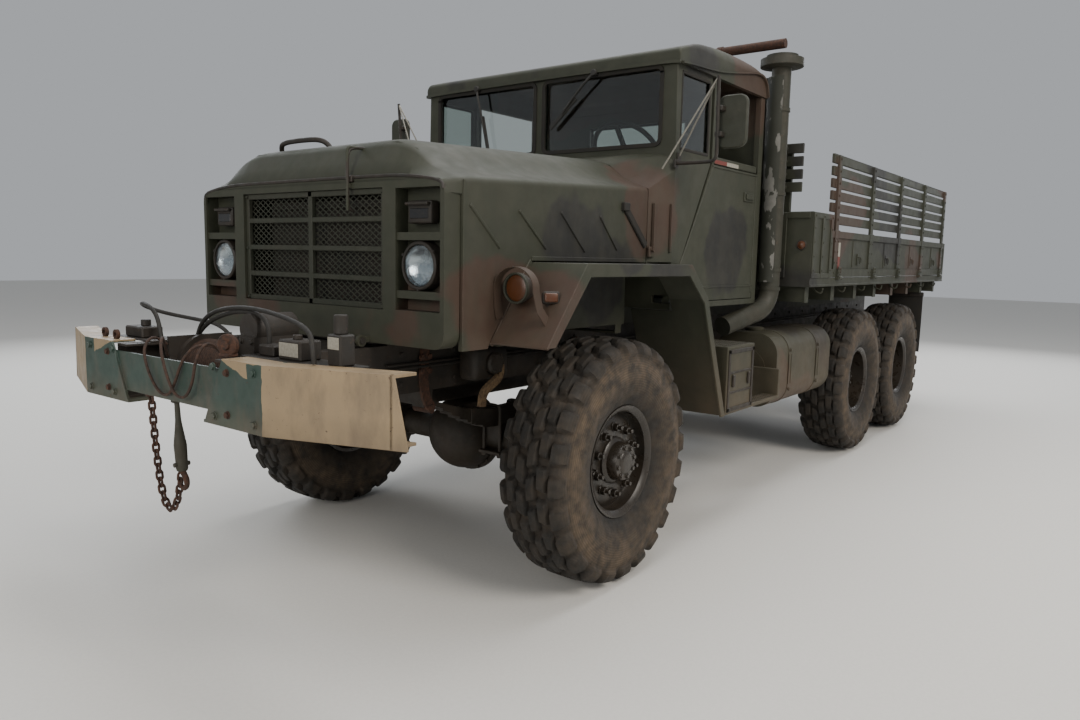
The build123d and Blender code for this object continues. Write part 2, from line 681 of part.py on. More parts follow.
# Windshield frame: two openings with a centre post, and a return along each side
pane_inner = 34.0
pane_outer = 868.0
pane_bottom = 2262.0
pane_top = roof_side - 10.0
with BuildPart() as windshield_frame:
    cross_plate([(-cab_half, belt), (cab_half, belt), (cab_half - 10, roof_side),
                 (-cab_half + 10, roof_side)], cab_front - 42, cab_front)
    for side in (1, -1):
        block(cab_front - 50, cab_front + 5, side * pane_inner, side * pane_outer, pane_bottom, pane_top,
              mode=Mode.SUBTRACT)
        block(cab_front - post_depth, cab_front - 42, side * (cab_half - 42), side * (cab_half - 10), belt,
              roof_side)
        block(door_top_front + 12, cab_front - post_depth, side * (cab_half - 40), side * (cab_half - 12),
              belt, belt + 30)
        block(door_top_front + 12, cab_front - post_depth, side * (cab_half - 40), side * (cab_half - 12),
              roof_side - 30, roof_side)
        block(door_top_front + 12, door_top_front + 36, side * (cab_half - 40), side * (cab_half - 12),
              belt + 30, roof_side - 30)
save(windshield_frame, "windshield_frame")

with BuildPart() as cab_glass:
    for side in (1, -1):
        block(cab_front - 26, cab_front - 20, side * pane_inner, side * pane_outer, pane_bottom, pane_top)
        block(door_top_front + 36, cab_front - post_depth, side * (cab_half - 29), side * (cab_half - 23),
              belt + 30, roof_side - 30)
    block(cab_rear + 16, cab_rear + 22, -half, half, low, high)
save(cab_glass, "cab_glass")

# Roof: a box roof that rises to the back and rounds down behind
roof_line = ((-757.0, roof_side), (-757.0, roof_front - 10), (-1000.0, roof_crown - 20),
             (-1450.0, roof_crown + 40), (-1800.0, roof_crown + 46), (-1950.0, roof_crown - 30),
             (-1997.0, roof_side + 60), (-1997.0, roof_side))
with BuildPart() as cab_roof:
    side_plate(list(roof_line), -roof_half, roof_half)
    roof_arch = [(roof_half, roof_side - 5), (roof_half, roof_side + 130), (roof_half - 52, roof_side + 195),
                 (roof_half - 182, roof_side + 260)]
    cross_plate(roof_arch + [(-y, z) for y, z in reversed(roof_arch)], -2000, -750, mode=Mode.INTERSECT)
    inner_roof = [(-800, roof_side - 5), (-800, roof_front - 40), (-1010, roof_crown - 55),
                  (-1450, roof_crown + 5), (-1790, roof_crown + 10), (-1920, roof_crown - 60),
                  (-1955, roof_side + 50), (-1955, roof_side - 5)]
    side_plate(inner_roof, -cab_half + 110, cab_half - 110, mode=Mode.SUBTRACT)
save(cab_roof, "cab_roof")

# Instrument panel, steering wheel and seats
wheel_centre = (-1100.0, 445.0, 2270.0)
dash_line = [(-799.0, 1900.0), (-799.0, 2190.0), (-880.0, 2190.0), (-960.0, 2090.0), (-940.0, 1900.0)]
with BuildPart() as dashboard:
    side_plate(dash_line, -920, 920)
save(dashboard, "dashboard")
with BuildPart() as steering_wheel:
    with Locations(Location((axle_x + wheel_centre[0], wheel_centre[1], wheel_centre[2]), (0, -50, 0))):
        Torus(225, 15)
        Cylinder(45, 30)
        Box(430, 30, 14)
        Box(30, 430, 14)
        Cylinder(24, 280, align=(Align.CENTER, Align.CENTER, Align.MAX))
    side_plate(dash_line, 300, 660, mode=Mode.SUBTRACT)
save(steering_wheel, "steering_wheel")
with BuildPart() as seats:
    for y0, y1 in seat_table:
        block(-1800, -1330, y0, y1, 1690.3, 1830)
        side_plate([(-1760, 1830.3), (-1640, 1830.3), (-1740, 2360), (-1840, 2360)], y0, y1)
save(seats, "seats")

# Doors: slanted front edge, window post and hinge barrels on an upright line
for side, name in ((1, "left"), (-1, "right")):
    with BuildPart() as door:
        panel = [(door_low_front, door_bottom), (door_top_front, belt - 12), (door_rear, belt - 12),
                 (door_rear, door_bottom)]
        side_plate(panel, side * (cab_half - door_thick), side * cab_half)
        block(door_top_front - 40, door_top_front - 8, side * (cab_half - door_thick + 6),
              side * (cab_half - 6), belt - 20, roof_side - move_gap)
        for z in hinge_heights:
            rod_z(door_hinge_x, side * door_hinge_y, z - 16, z + 16, door_hinge_radius)
            block(door_hinge_x - 80, door_hinge_x, side * cab_half, side * (cab_half + 12), z - 16, z + 16)
            rod_z(door_hinge_x, side * door_hinge_y, z - 17, z + 17, 8 + running_gap, mode=Mode.SUBTRACT)
    save(door, f"door_{name}")

# Mirrors: a head each side on two arms from the cowl
mirror_out = 1400.0
with BuildPart() as mirrors:
    for side, z0 in ((1, belt + 10), (-1, belt + 95)):
        block(-812, -780, side * (mirror_out - 160), side * mirror_out, z0, z0 + 285)
        for z in (z0 + 60, z0 + 225):
            rod_y(-765, z, side * 985, side * (mirror_out - 80), 9)
            rod_x(side * (mirror_out - 80), z, -790, -750, 13)
        rod_z(-765, side * 985, belt - 30, z0 + 245, 12)
        block(-780, -750, side * cab_half, side * 985, belt - 60, belt - 20)
save(mirrors, "mirrors")

# Lamps: amber turn lamps on the front fenders, markers on the bed, tail lamps behind
turn_lamp = (612.0, 985.0, 1478.0)
guard_radius = 78.0
guard_sheet = 4.0
with BuildPart() as marker_lamps:
    for side in (1, -1):
        x, y, z = turn_lamp
        with BuildSketch(Plane.YZ.offset(axle_x + x - 38)) as guard:
            for radius, mode in ((guard_radius, Mode.ADD), (guard_radius - guard_sheet, Mode.SUBTRACT)):
                with Locations((side * y, z)):
                    Circle(radius, mode=mode)
                with Locations((side * y, z - 75)):
                    Rectangle(2 * radius, 150, mode=mode)
        extrude(guard.sketch, amount=56)
        rod_x(side * y, z, x - 60, x + 36, 66)
        block(x - 120, x + 40, side * (y - 80), side * (y + 80), z - 84, z - 70)
        rod_x(side * 1149, 1738, bed_front, bed_front + 24, 34)
        block(bed_rear + 5, bed_rear + 75, side * 800, side * 1000, bed_bottom - 100, bed_bottom)
    for side in (1, -1):
        side_plate(list(fender_line) + [(-1060, 600), (900, 600)], side * 700, side * 1213,
                   mode=Mode.SUBTRACT)
save(marker_lamps, "marker_lamps")

# Fuel tank on the left and step boxes on both sides
tank = (-3100.0, -1995.0, 690.0, 1150.0, 605.0, 1125.0)
with BuildPart() as fuel_tank:
    x0, x1, y0, y1, z0, z1 = tank
    with BuildSketch(Plane.YZ.offset(axle_x + x0)) as outline:
        with Locations(((y0 + y1) / 2, (z0 + z1) / 2)):
            RectangleRounded(y1 - y0, z1 - z0, 150)
    extrude(outline.sketch, amount=x1 - x0)
    for x in (x0 + 300, x1 - 240):
        block(x - 30, x + 30, rail_out, y0 + 10, 900, 1000)
        with BuildSketch(Plane.YZ.offset(axle_x + x - 25)) as strap:
            with Locations(((y0 + y1) / 2, (z0 + z1) / 2)):
                RectangleRounded(y1 - y0 + 8, z1 - z0 + 8, 154)
        extrude(strap.sketch, amount=50)
save(fuel_tank, "fuel_tank")

with BuildPart() as step_boxes:
    for side in (1, -1):
        block(-1465, -1075, side * 780, side * 1205, 700, 1110)
        block(-1930, -1465, side * 1090, side * 1205, 700, 722)
        block(-1930, -1900, side * 780, side * 1205, 700, 900)
        for x in (-1420, -1120):
            block(x - 25, x + 25, side * rail_out, side * 780, 1000, 1080)
        block(-1930, -1880, side * rail_out, side * 780, 980, 1060)
        block(-1930, -1900, side * 760, side * 800, 900, 1060)
    for x in (-2500, -2950):
        rod_x(-800, 860, x, x + 400, 130)
    for x in (-2350, -2800):
        block(x - 20, x + 20, -rail_out, -700, 980, 1040)
        block(x - 20, x + 20, -740, -700, 940, 1040)
save(step_boxes, "step_boxes")

# Stacks behind the cab: air intake on the left with its cap, and the exhaust with a turned tip
intake = (-2130.0, 1015.0)
intake_top = 3000.0
with BuildPart() as intake_stack:
    x, y = intake
    tube([(x, y, intake_top - 65), (x, y, 1300), (x + 480, y - 120, 1180)], 180, 65)
    rod_z(x, y, intake_top - 75, intake_top - 25, 142)
    rod_z(x, y, intake_top - 25, intake_top, 105)
    block(x - 26, x + 26, 816, 932, 1420, intake_top - 140)
    for z in (1500, intake_top - 300):
        block(x - 26, x + 26, 930, y - 40, z, z + 60)
    for z in (1500, 2100):
        block(x + 20, cab_rear, 840, 900, z, z + 60)
save(intake_stack, "intake_stack")
exhaust = (-2130.0, 330.0)
with BuildPart() as exhaust_stack:
    x, y = exhaust
    tube([(x, y, 1215), (x, y, 3080), (x, 1033, 3080)], 90, 32)
    rod_z(x, y, 1400, 2500, 95)
    block(x - 60, x + 60, y - 20, rail_out, frame_top, 1215)
    for z in (1600, 2100):
        block(x + 80, cab_rear, y - 30, y + 30, z, z + 50)
save(exhaust_stack, "exhaust_stack")

# Bed: floor on cross sills, bulkhead and fixed front corners
hinge_stations = (-2950.0, -3880.0, -4680.0, -5480.0, -6400.0)
hinge_y = bed_half + hinge_axis_out
hinge_z = bed_floor_top + 2.0
tail_hinges = (-950.0, -320.0, 320.0, 950.0)
with BuildPart() as bed_floor:
    block(bed_rear, bed_front, -bed_half, bed_half, bed_bottom, bed_floor_top)
    block(bed_front - bed_wall, bed_front, -bed_half, bed_half, bed_floor_top, bulkhead_top)
    for side in (1, -1):
        block(corner_end, bed_front - bed_wall, side * (bed_half - bed_wall), side * bed_half,
              bed_floor_top, bulkhead_top)
        block(rail_rear, bed_front, side * (rail_out - 70), side * rail_out, frame_top, 1330)
    sill_count = 8
    for sill in range(sill_count):
        x = bed_front - 120 + (bed_rear + 260 - bed_front) * sill / (sill_count - 1)
        block(x - sill_width / 2, x + sill_width / 2, -bed_half + 60, bed_half - 60, 1330, bed_bottom)
    for side in (1, -1):
        for x in hinge_stations:
            for way in (1, -1):
                block(x + way * 38, x + way * 50, side * bed_half, side * (hinge_y + hinge_pin_radius),
                      hinge_z - 16, hinge_z + hinge_pin_radius)
            rod_x(side * hinge_y, hinge_z, x - 50, x + 50, hinge_pin_radius)
    for y in tail_hinges:
        for way in (1, -1):
            block(bed_rear - hinge_axis_out - hinge_pin_radius, bed_rear, y + way * 38, y + way * 50,
                  hinge_z - 16, hinge_z + hinge_pin_radius)
        rod_y(bed_rear - hinge_axis_out, hinge_z, y - 50, y + 50, hinge_pin_radius)
save(bed_floor, "bed_floor")

# Front rack: slats on stakes, standing in the bulkhead
front_rack_top = 2445.0
with BuildPart() as front_rack:
    for slat in range(4):
        z1 = front_rack_top - slat * slat_pitch
        block(bed_front - slat_thick, bed_front, -1120, 1120, z1 - slat_height, z1)
    for y in (-1000, -500, 0, 500, 1000):
        block(bed_front - slat_thick - stake_thick, bed_front - slat_thick, y - stake_width / 2,
              y + stake_width / 2, bulkhead_top, front_rack_top - 8)
save(front_rack, "front_rack")

# Dropsides with their racks, hinged at the floor's edge
side_bottom = hinge_z + hinge_gap + 2
stake_first = -2890.0
stake_last = -6480.0
for side, name in ((1, "left"), (-1, "right")):
    with BuildPart() as dropside:
        x1 = corner_end - move_gap
        x0 = bed_rear + bed_wall + move_gap
        block(x0, x1, side * (bed_half - bed_wall), side * (bed_half - 12), side_bottom, side_top)
        for z0, z1 in ((side_bottom, side_bottom + 60), (side_top - 50, side_top)):
            block(x0, x1, side * (bed_half - 12), side * bed_half, z0, z1)
        for post in range(stake_count):
            x = stake_first + (stake_last - stake_first) * post / (stake_count - 1)
            block(x - 45, x + 45, side * (bed_half - 12), side * bed_half, side_bottom, side_top)
        for x in hinge_stations:
            rod_x(side * hinge_y, hinge_z, x - 35, x + 35, hinge_loop_radius)
            block(x - 35, x + 35, side * bed_half, side * (bed_half + 12), hinge_z + 8, side_bottom + 60)
            rod_x(side * hinge_y, hinge_z, x - 36, x + 36, hinge_pin_radius + running_gap,
                  mode=Mode.SUBTRACT)
    save(dropside, f"dropside_{name}")
    with BuildPart() as rack:
        for slat in range(6):
            z1 = rack_top - slat * slat_pitch
            block(x0, x1, side * (bed_half - bed_wall + 1), side * (bed_half - bed_wall + 1 + slat_thick),
                  z1 - slat_height, z1)
        for post in range(stake_count):
            x = stake_first + (stake_last - stake_first) * post / (stake_count - 1)
            block(x - stake_width / 2, x + stake_width / 2, side * (bed_half - bed_wall + 1 + slat_thick),
                  side * (bed_half - 2), side_top, rack_top - 6)
    save(rack, f"rack_{name}")

# Tailgate, hinged at the floor's rear edge
with BuildPart() as tailgate:
    block(bed_rear, bed_rear + bed_wall, -bed_half, bed_half, side_bottom, side_top)
    for y in tail_hinges:
        rod_y(bed_rear - hinge_axis_out, hinge_z, y - 35, y + 35, hinge_loop_radius)
        block(bed_rear - 12, bed_rear, y - 35, y + 35, hinge_z + 8, side_bottom + 60)
        rod_y(bed_rear - hinge_axis_out, hinge_z, y - 36, y + 36, hinge_pin_radius + running_gap,
              mode=Mode.SUBTRACT)
save(tailgate, "tailgate")

# Mud flaps behind the rear wheels, hung from a sill
flap_station = -5905.0
with BuildPart() as mud_flaps:
    for side in (1, -1):
        block(flap_station - 6, flap_station + 6, side * 850, side * 1190, 700, 1330)
save(mud_flaps, "mud_flaps")
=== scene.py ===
# %% [markdown]
# # Dressing a six-wheel cargo truck
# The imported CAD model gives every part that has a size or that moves: rails, axles, cab, doors, hood, bed.
# This script gives those parts their finish and adds what is too small or too curved for the CAD: tread,
# mesh, bolts, hoses, wire rope, cushions. It never moves a CAD part, so everything here is placed from the
# frame that is loaded first.

# %% Load the frame
import json

import bmesh
import bpy
import numpy as np
from mathutils import Matrix, Vector


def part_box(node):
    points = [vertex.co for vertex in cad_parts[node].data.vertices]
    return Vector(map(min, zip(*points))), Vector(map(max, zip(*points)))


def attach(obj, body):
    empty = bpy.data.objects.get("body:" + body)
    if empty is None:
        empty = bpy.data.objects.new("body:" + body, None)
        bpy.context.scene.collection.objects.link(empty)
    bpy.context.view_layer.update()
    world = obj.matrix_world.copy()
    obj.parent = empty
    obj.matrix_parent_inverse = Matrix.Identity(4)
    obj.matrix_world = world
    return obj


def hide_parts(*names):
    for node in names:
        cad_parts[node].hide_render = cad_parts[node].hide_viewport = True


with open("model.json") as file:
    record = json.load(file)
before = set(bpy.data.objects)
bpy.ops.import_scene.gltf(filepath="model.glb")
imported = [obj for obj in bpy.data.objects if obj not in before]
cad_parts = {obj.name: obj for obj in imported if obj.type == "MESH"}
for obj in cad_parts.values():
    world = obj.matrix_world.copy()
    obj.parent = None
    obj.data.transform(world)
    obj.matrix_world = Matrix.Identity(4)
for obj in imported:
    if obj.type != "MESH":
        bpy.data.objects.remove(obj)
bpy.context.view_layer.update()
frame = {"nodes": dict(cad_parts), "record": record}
nodes = frame["nodes"]
front_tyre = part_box("tyre_front_left")
axle_x = (front_tyre[0].x + front_tyre[1].x) / 2
wheel_radius = (front_tyre[1].z - front_tyre[0].z) / 2
rear_stations = (-3.861, -5.233)

# %% [markdown]
# ## The camera
# The photograph was taken from eye height, ahead of the truck's left front corner, with a wide phone lens.
# The place and the turns below were fitted to things whose real size is known: the tyres, the wheelbase and
# the mirrored halves of the hood. A camera in Blender looks along its own minus Z, so the rotation matrix is
# built from its right, up and backward directions.

# %% Camera
camera_station = Vector((3.381, 3.218, 1.613))
camera_yaw = np.radians(-142.59)
camera_pitch = np.radians(-7.21)
camera_roll = np.radians(1.22)
focal_in_pixels = 812.075
image_width = 1080

look = Vector((np.cos(camera_pitch) * np.cos(camera_yaw), np.cos(camera_pitch) * np.sin(camera_yaw),
    np.sin(camera_pitch)))
level_right = Vector((np.sin(camera_yaw), -np.cos(camera_yaw), 0))
level_up = level_right.cross(look)
right = np.cos(camera_roll) * level_right + np.sin(camera_roll) * level_up
up = np.cos(camera_roll) * level_up - np.sin(camera_roll) * level_right
camera_data = bpy.data.cameras.new("photo_camera")
camera_data.sensor_width = 36.0
camera_data.lens = focal_in_pixels / image_width * camera_data.sensor_width
camera = bpy.data.objects.new("photo_camera", camera_data)
turn = Matrix((right, up, -look)).transposed().to_4x4()
camera.matrix_world = Matrix.Translation(camera_station + Vector((axle_x, 0, 0))) @ turn
bpy.context.scene.collection.objects.link(camera)
bpy.context.scene.camera = camera
print("lens", round(camera_data.lens, 2), "mm")

# %% [markdown]
# ## Floor and light
# A studio shot: a pale floor, a soft grey surround, one big light from the side where the sun stood, a weaker
# one from the camera's side so the shaded flank still reads, a broad one overhead, and one each for the far
# side and the back.

# %% Floor and lights
floor_mesh = bpy.data.meshes.new("floor")
floor_mesh.from_pydata([(-40, -40, -0.002), (40, -40, -0.002), (40, 40, -0.002), (-40, 40, -0.002)], [],
    [(0, 1, 2, 3)])
floor = bpy.data.objects.new("floor", floor_mesh)
bpy.context.scene.collection.objects.link(floor)


def soft_light(name, place, target, size, power, tint):
    """A square area light at place, turned so that its minus Z points at target."""
    data = bpy.data.lights.new(name, "AREA")
    data.size = size
    data.energy = power
    data.color = tint
    lamp = bpy.data.objects.new(name, data)
    lamp.location = place
    lamp.rotation_euler = (Vector(target) - Vector(place)).to_track_quat("-Z", "Y").to_euler()
    bpy.context.scene.collection.objects.link(lamp)


soft_light("key", (3.0, 9.0, 7.5), (0, 0, 1.2), 5.0, 800, (1.0, 0.93, 0.84))
soft_light("front", (12.0, 2.0, 4.0), (2, 0, 1.2), 4.0, 420, (1.0, 0.96, 0.9))
soft_light("overhead", (-1.0, 0.0, 9.5), (-1, 0, 0), 7.0, 700, (1.0, 1.0, 1.0))
soft_light("far_side", (0.0, -10.0, 6.0), (0, 0, 1.2), 6.0, 500, (0.92, 0.96, 1.0))
soft_light("behind", (-11.0, 1.0, 5.0), (-2, 0, 1.2), 5.0, 350, (0.95, 0.97, 1.0))
world = bpy.data.worlds.new("studio")
bpy.context.scene.world = world
world.use_nodes = True
world.node_tree.nodes["Background"].inputs["Color"].default_value = (0.75, 0.78, 0.82, 1)
world.node_tree.nodes["Background"].inputs["Strength"].default_value = 0.55

# %% [markdown]
# ## Making a material
# Paint colours are written as the sRGB hex values a painter would use and turned to linear light by one
# function. `add` puts one node in a tree, sets its sockets and properties, links the sockets that are given
# another node's output, and returns the node's own first output. What follows it are things that happen to a
# finish: it wears through in patches, gathers dust low down, and has a fine grain of its own.

# %% Material helpers


def linear(code):
    """sRGB hex to linear RGBA: below 0.04045 divide by 12.92, else ((c + 0.055) / 1.055) to the power 2.4."""
    c = np.array([int(code[i:i + 2], 16) for i in (0, 2, 4)]) / 255.0
    c = np.where(c <= 0.04045, c / 12.92, ((c + 0.055) / 1.055) ** 2.4)
    return (*c.tolist(), 1.0)


def wire(tree, node, sockets):
    """Sets a node's inputs: another node's output is linked, a hex colour is made linear, a number is set."""
    for key, value in sockets.items():
        if isinstance(value, bpy.types.NodeSocket):
            tree.links.new(value, node.inputs[key])
        else:
            node.inputs[key].default_value = linear(value) if isinstance(value, str) else value


def add(tree, kind, sockets, stops=(), **settings):
    """One node with its settings and links, and its first output in use. Stops are the positions and the grey
    values or hex colours of a colour ramp, which starts with two of them."""
    made = tree.nodes.new("ShaderNode" + kind)
    for key, value in settings.items():
        setattr(made, key, value)
    wire(tree, made, sockets)
    for _ in stops[2:]:
        made.color_ramp.elements.new(0.5)
    for k, (place, value) in enumerate(stops):
        made.color_ramp.elements[k].position = place
        made.color_ramp.elements[k].color = linear(value) if isinstance(value, str) else (value, value,
            value, 1)
    return next(socket for socket in made.outputs if socket.enabled)


def blank(name):
    """A new material with a Principled shader, and its tree, shader and Object coordinates."""
    made = bpy.data.materials.new(name)
    made.use_nodes = True
    tree = made.node_tree
    return made, tree, tree.nodes["Principled BSDF"], tree.nodes.new("ShaderNodeTexCoord").outputs["Object"]


def patches(tree, coords, per_metre, detail, stops, rough=0.55, stretch=None):
    """Noise with per_metre features to the metre, drawn out by stretch; stops make it shares or colours."""
    if stretch:
        coords = add(tree, "Mapping", {"Vector": coords, "Scale": stretch})
    noise = add(tree, "TexNoise",
        {"Vector": coords, "Scale": per_metre, "Detail": detail, "Roughness": rough})
    return add(tree, "ValToRGB", {"Fac": noise}, stops)


def weathered(tree, coords, colour, over, per_metre, detail, stops, rough=0.55, stretch=None):
    """A colour with another over it, in patches."""
    share = patches(tree, coords, per_metre, detail, stops, rough, stretch)
    return add(tree, "Mix", {0: share, 6: colour, 7: over}, data_type="RGBA")


def dusted(tree, coords, colour, low, high, per_metre, share=None):
    """Road dust on a colour: all of it below the height low, none above high, times noise and a share."""
    height = add(tree, "SeparateXYZ", {"Vector": coords}).node.outputs["Z"]
    fade = add(tree, "MapRange", {"Value": height, "From Min": low, "From Max": high, "To Min": 1.0,
        "To Max": 0.0})
    noise = add(tree, "TexNoise", {"Vector": coords, "Scale": per_metre, "Detail": 6.0, "Roughness": 0.55})
    dust = add(tree, "Math", {0: fade, 1: noise}, operation="MULTIPLY")
    if share:
        dust = add(tree, "Math", {0: dust, 1: share}, operation="MULTIPLY")
    return add(tree, "Mix", {0: dust, 6: colour, 7: dust_colour}, data_type="RGBA")


def grain(tree, coords, per_metre, detail, depth):
    """A normal from fine noise, depth in metres from trough to crest."""
    noise = add(tree, "TexNoise", {"Vector": coords, "Scale": per_metre, "Detail": detail, "Roughness": 0.55})
    return add(tree, "Bump", {"Height": noise, "Distance": depth, "Strength": 1.0})


# %% [markdown]
# ## Camouflage paint
# Chemical-resistant polyurethane in three colours: forest green, brown and black, sprayed in big soft-edged
# patches and left dead matt. Years of sun chalk it, hands and boots polish it, and dust settles low down.
# On the cab and hood each patch has its place. Behind them one large noise picks the colour. A second one
# chalks it, and height above the ground decides the dust.

# %% Painted finishes
patch_per_metre = 0.85
chalk_per_metre = 9.0
orange_peel_per_metre = 420.0
patch_edge = 0.02
cab_rear = axle_x - 2.1
dust_colour = "5A4D3B"

cab_patches = (
    # station ahead of the front axle, height, radius, colour: the patches seen on the hood, door and roof
    (0.7, 1.39, 0.24, "brown"),
    (0.08, 1.74, 0.24, "black"),
    (-0.25, 1.5, 0.2, "black"),
    (-0.62, 1.88, 0.23, "brown"),
    (-1.5, 1.7, 0.3, "black"),
    (-1.8, 2.85, 0.33, "brown"),
    (-1.05, 2.74, 0.2, "black"),
)


def camouflage(name, green, brown, black, dust_top):
    """Three-colour matt paint. A placed patch is the share of points nearer to its middle, in the side view,
    than its radius, with the distance pushed in and out by noise."""
    made, tree, shader, coords = blank(name)
    spread = patches(tree, coords, patch_per_metre, 2.5,
        [(0.0, black), (0.405, black), (0.42, green), (0.545, green), (0.56, brown), (1.0, brown)], 0.45,
        (1.0, 1.0, 1.25))
    along = add(tree, "SeparateXYZ", {"Vector": coords})
    ahead = add(tree, "MapRange", {"Value": along, "From Min": cab_rear, "From Max": axle_x - 2.0})
    colour = add(tree, "Mix", {0: ahead, 6: spread, 7: green}, data_type="RGBA")
    flat = add(tree, "VectorMath", {0: coords, 1: (1.0, 0.0, 1.0)}, operation="MULTIPLY")
    ragged = add(tree, "TexNoise", {"Vector": coords, "Scale": 2.2, "Detail": 3.0, "Roughness": 0.55})
    ragged = add(tree, "Math", {0: ragged, 1: 0.55, 2: -0.275}, operation="MULTIPLY_ADD")
    for x, z, radius, tone in cab_patches:
        away = add(tree, "VectorMath", {0: flat, 1: (axle_x + x, 0, z)}, operation="DISTANCE")
        away = add(tree, "Math", {0: away, 1: ragged}, operation="ADD")
        inside = add(tree, "MapRange", {"Value": away, "From Min": radius - patch_edge, "From Max": radius
            + patch_edge, "To Min": 1.0, "To Max": 0.0})
        paint = brown if tone == "brown" else black
        colour = add(tree, "Mix", {0: inside, 6: colour, 7: paint}, data_type="RGBA")
    colour = weathered(tree, coords, colour, "48463A", chalk_per_metre, 6.0, [(0.4, 0.0), (0.8, 0.3)])
    colour = weathered(tree, coords, colour, "2F2C22", 26.0, 5.0, [(0.45, 0.0), (0.8, 0.4)], 0.6,
        (1.0, 1.0, 0.12))
    wire(tree, shader, {"Base Color": dusted(tree, coords, colour, 0.75, dust_top, 5.0),
        "Roughness": patches(tree, coords, 14.0, 5.0, [(0.3, 0.6), (0.8, 0.74)]),
        "Normal": grain(tree, coords, orange_peel_per_metre, 2.0, 0.00012)})
    return made


def worn_paint(name, paint_code, under_code, rough_low, rough_high, wear=0.0, dust_top=0.9, dust=0.8):
    """One paint colour with blotches, chips down to what lies under it, and dust."""
    made, tree, shader, coords = blank(name)
    colour = weathered(tree, coords, paint_code, under_code, 7.0, 6.0, [(0.3, 0.0), (0.8, 0.6)])
    chipped = [(0.62 - wear, 0.0), (0.66 - wear, 1.0)]
    colour = weathered(tree, coords, colour, under_code, 38.0, 8.0, chipped, 0.7)
    wire(tree, shader, {"Base Color": dusted(tree, coords, colour, 0.3, dust_top, 6.0, dust),
        "Roughness": patches(tree, coords, 18.0, 5.0, [(0.3, rough_low), (0.8, rough_high)]),
        "Normal": grain(tree, coords, 160.0, 4.0, 0.0008)})
    return made


camo_paint = camouflage("camo_paint", "2B2E21", "3C2C21", "1A1A17", 1.3)
bumper_green = worn_paint("bumper_green_enamel", "2F4A40", "5A4634", 0.38, 0.7, 0.04, 0.9, 0.3)
mesh_paint = worn_paint("grille_paint", "272B20", "37342A", 0.6, 0.85, 0.0, 0.9, 0.2)
chassis_paint = worn_paint("chassis_black_paint", "1D1C18", "36291F", 0.5, 0.85, 0.02, 1.2, 0.35)
stack_paint = worn_paint("stack_paint", "27291F", "3A3328", 0.55, 0.85, 0.03, 1.2, 0.3)
rim_paint = worn_paint("rim_gloss_black", "191816", "332A22", 0.2, 0.5, 0.0, 1.6, 0.22)
print("painted finishes:", len([m for m in bpy.data.materials if "paint" in m.name]))

# %% [markdown]
# ## Bare, rubber, glass and cloth finishes
# Rust is a rough dielectric crust with deep relief, so it has no metallic value. Tyre rubber is a compound
# black with carbon, under dried mud. Safety glass has an index of 1.52 and hardly any colour; lamp lenses are
# the same glass pressed with ribs. Vinyl-coated duck covers the seats.

# %% Other finishes


def rust(name, light_code, dark_code):
    """Flaking rust: two browns by noise, rough, with relief of a millimetre."""
    made, tree, shader, coords = blank(name)
    crust = add(tree, "TexNoise", {"Vector": coords, "Scale": 60.0, "Detail": 8.0, "Roughness": 0.7})
    share = add(tree, "ValToRGB", {"Fac": crust}, [(0.35, 0.0), (0.7, 1.0)])
    wire(tree, shader,
        {"Base Color": add(tree, "Mix", {0: share, 6: dark_code, 7: light_code}, data_type="RGBA"),
        "Roughness": 0.88,
        "Normal": add(tree, "Bump", {"Height": crust, "Distance": 0.0012, "Strength": 1.0})})
    return made


def axle_distance(tree, coords):
    """Distance from the nearest of the three axles: the square root of (x - its x)^2 + (z - its z)^2."""
    parts = add(tree, "SeparateXYZ", {"Vector": coords}).node.outputs
    nearest = None
    for x in (0.0, *rear_stations):
        away = add(tree, "Math", {0: parts["X"], 1: axle_x + x}, operation="SUBTRACT")
        away = add(tree, "Math", {0: away}, operation="ABSOLUTE")
        nearest = away if nearest is None else add(tree, "Math", {0: away, 1: nearest}, operation="MINIMUM")
    height = add(tree, "Math", {0: parts["Z"], 1: wheel_radius}, operation="SUBTRACT")
    joined = add(tree, "CombineXYZ", {"X": nearest, "Y": height})
    return add(tree, "VectorMath", {0: joined}, operation="LENGTH")


def tyre_compound(name):
    """Black rubber, dried mud in blotches, and a tan ring of dust where the sidewall swells. The ring is a
    ramp of the distance from the axle, times noise, times the sine of the distance for fine moulded lines."""
    made, tree, shader, coords = blank(name)
    colour = weathered(tree, coords, "1B1916", "453A2D", 11.0, 8.0, [(0.42, 0.0), (0.85, 0.7)], 0.65)
    away = axle_distance(tree, coords)
    ring = add(tree, "ValToRGB", {"Fac": away},
        [(0.3, 0.0), (0.41, 0.6), (0.49, 0.95), (0.54, 0.35), (0.6, 0.0)])
    ragged = patches(tree, coords, 16.0, 8.0, [(0.35, 0.1), (0.7, 1.0)], 0.6)
    ring = add(tree, "Math", {0: ring, 1: ragged}, operation="MULTIPLY")
    lines = add(tree, "Math", {0: away, 1: 520.0}, operation="MULTIPLY")
    lines = add(tree, "Math", {0: lines}, operation="SINE")
    lines = add(tree, "ValToRGB", {"Fac": lines}, [(0.0, 0.6), (0.9, 1.0)])
    ring = add(tree, "Math", {0: ring, 1: lines}, operation="MULTIPLY")
    wire(tree, shader, {"Base Color": add(tree, "Mix", {0: ring, 6: colour, 7: "6A5945"}, data_type="RGBA"),
        "Roughness": patches(tree, coords, 30.0, 5.0, [(0.3, 0.7), (0.8, 0.95)]),
        "Normal": grain(tree, coords, 240.0, 5.0, 0.0015)})
    return made


def clear_glass(name, tint, rough):
    """Glass as a transmissive shader with index 1.52."""
    made, tree, shader, coords = blank(name)
    wire(tree, shader, {"Base Color": tint, "Transmission Weight": 1.0, "IOR": 1.52, "Roughness": rough})
    return made


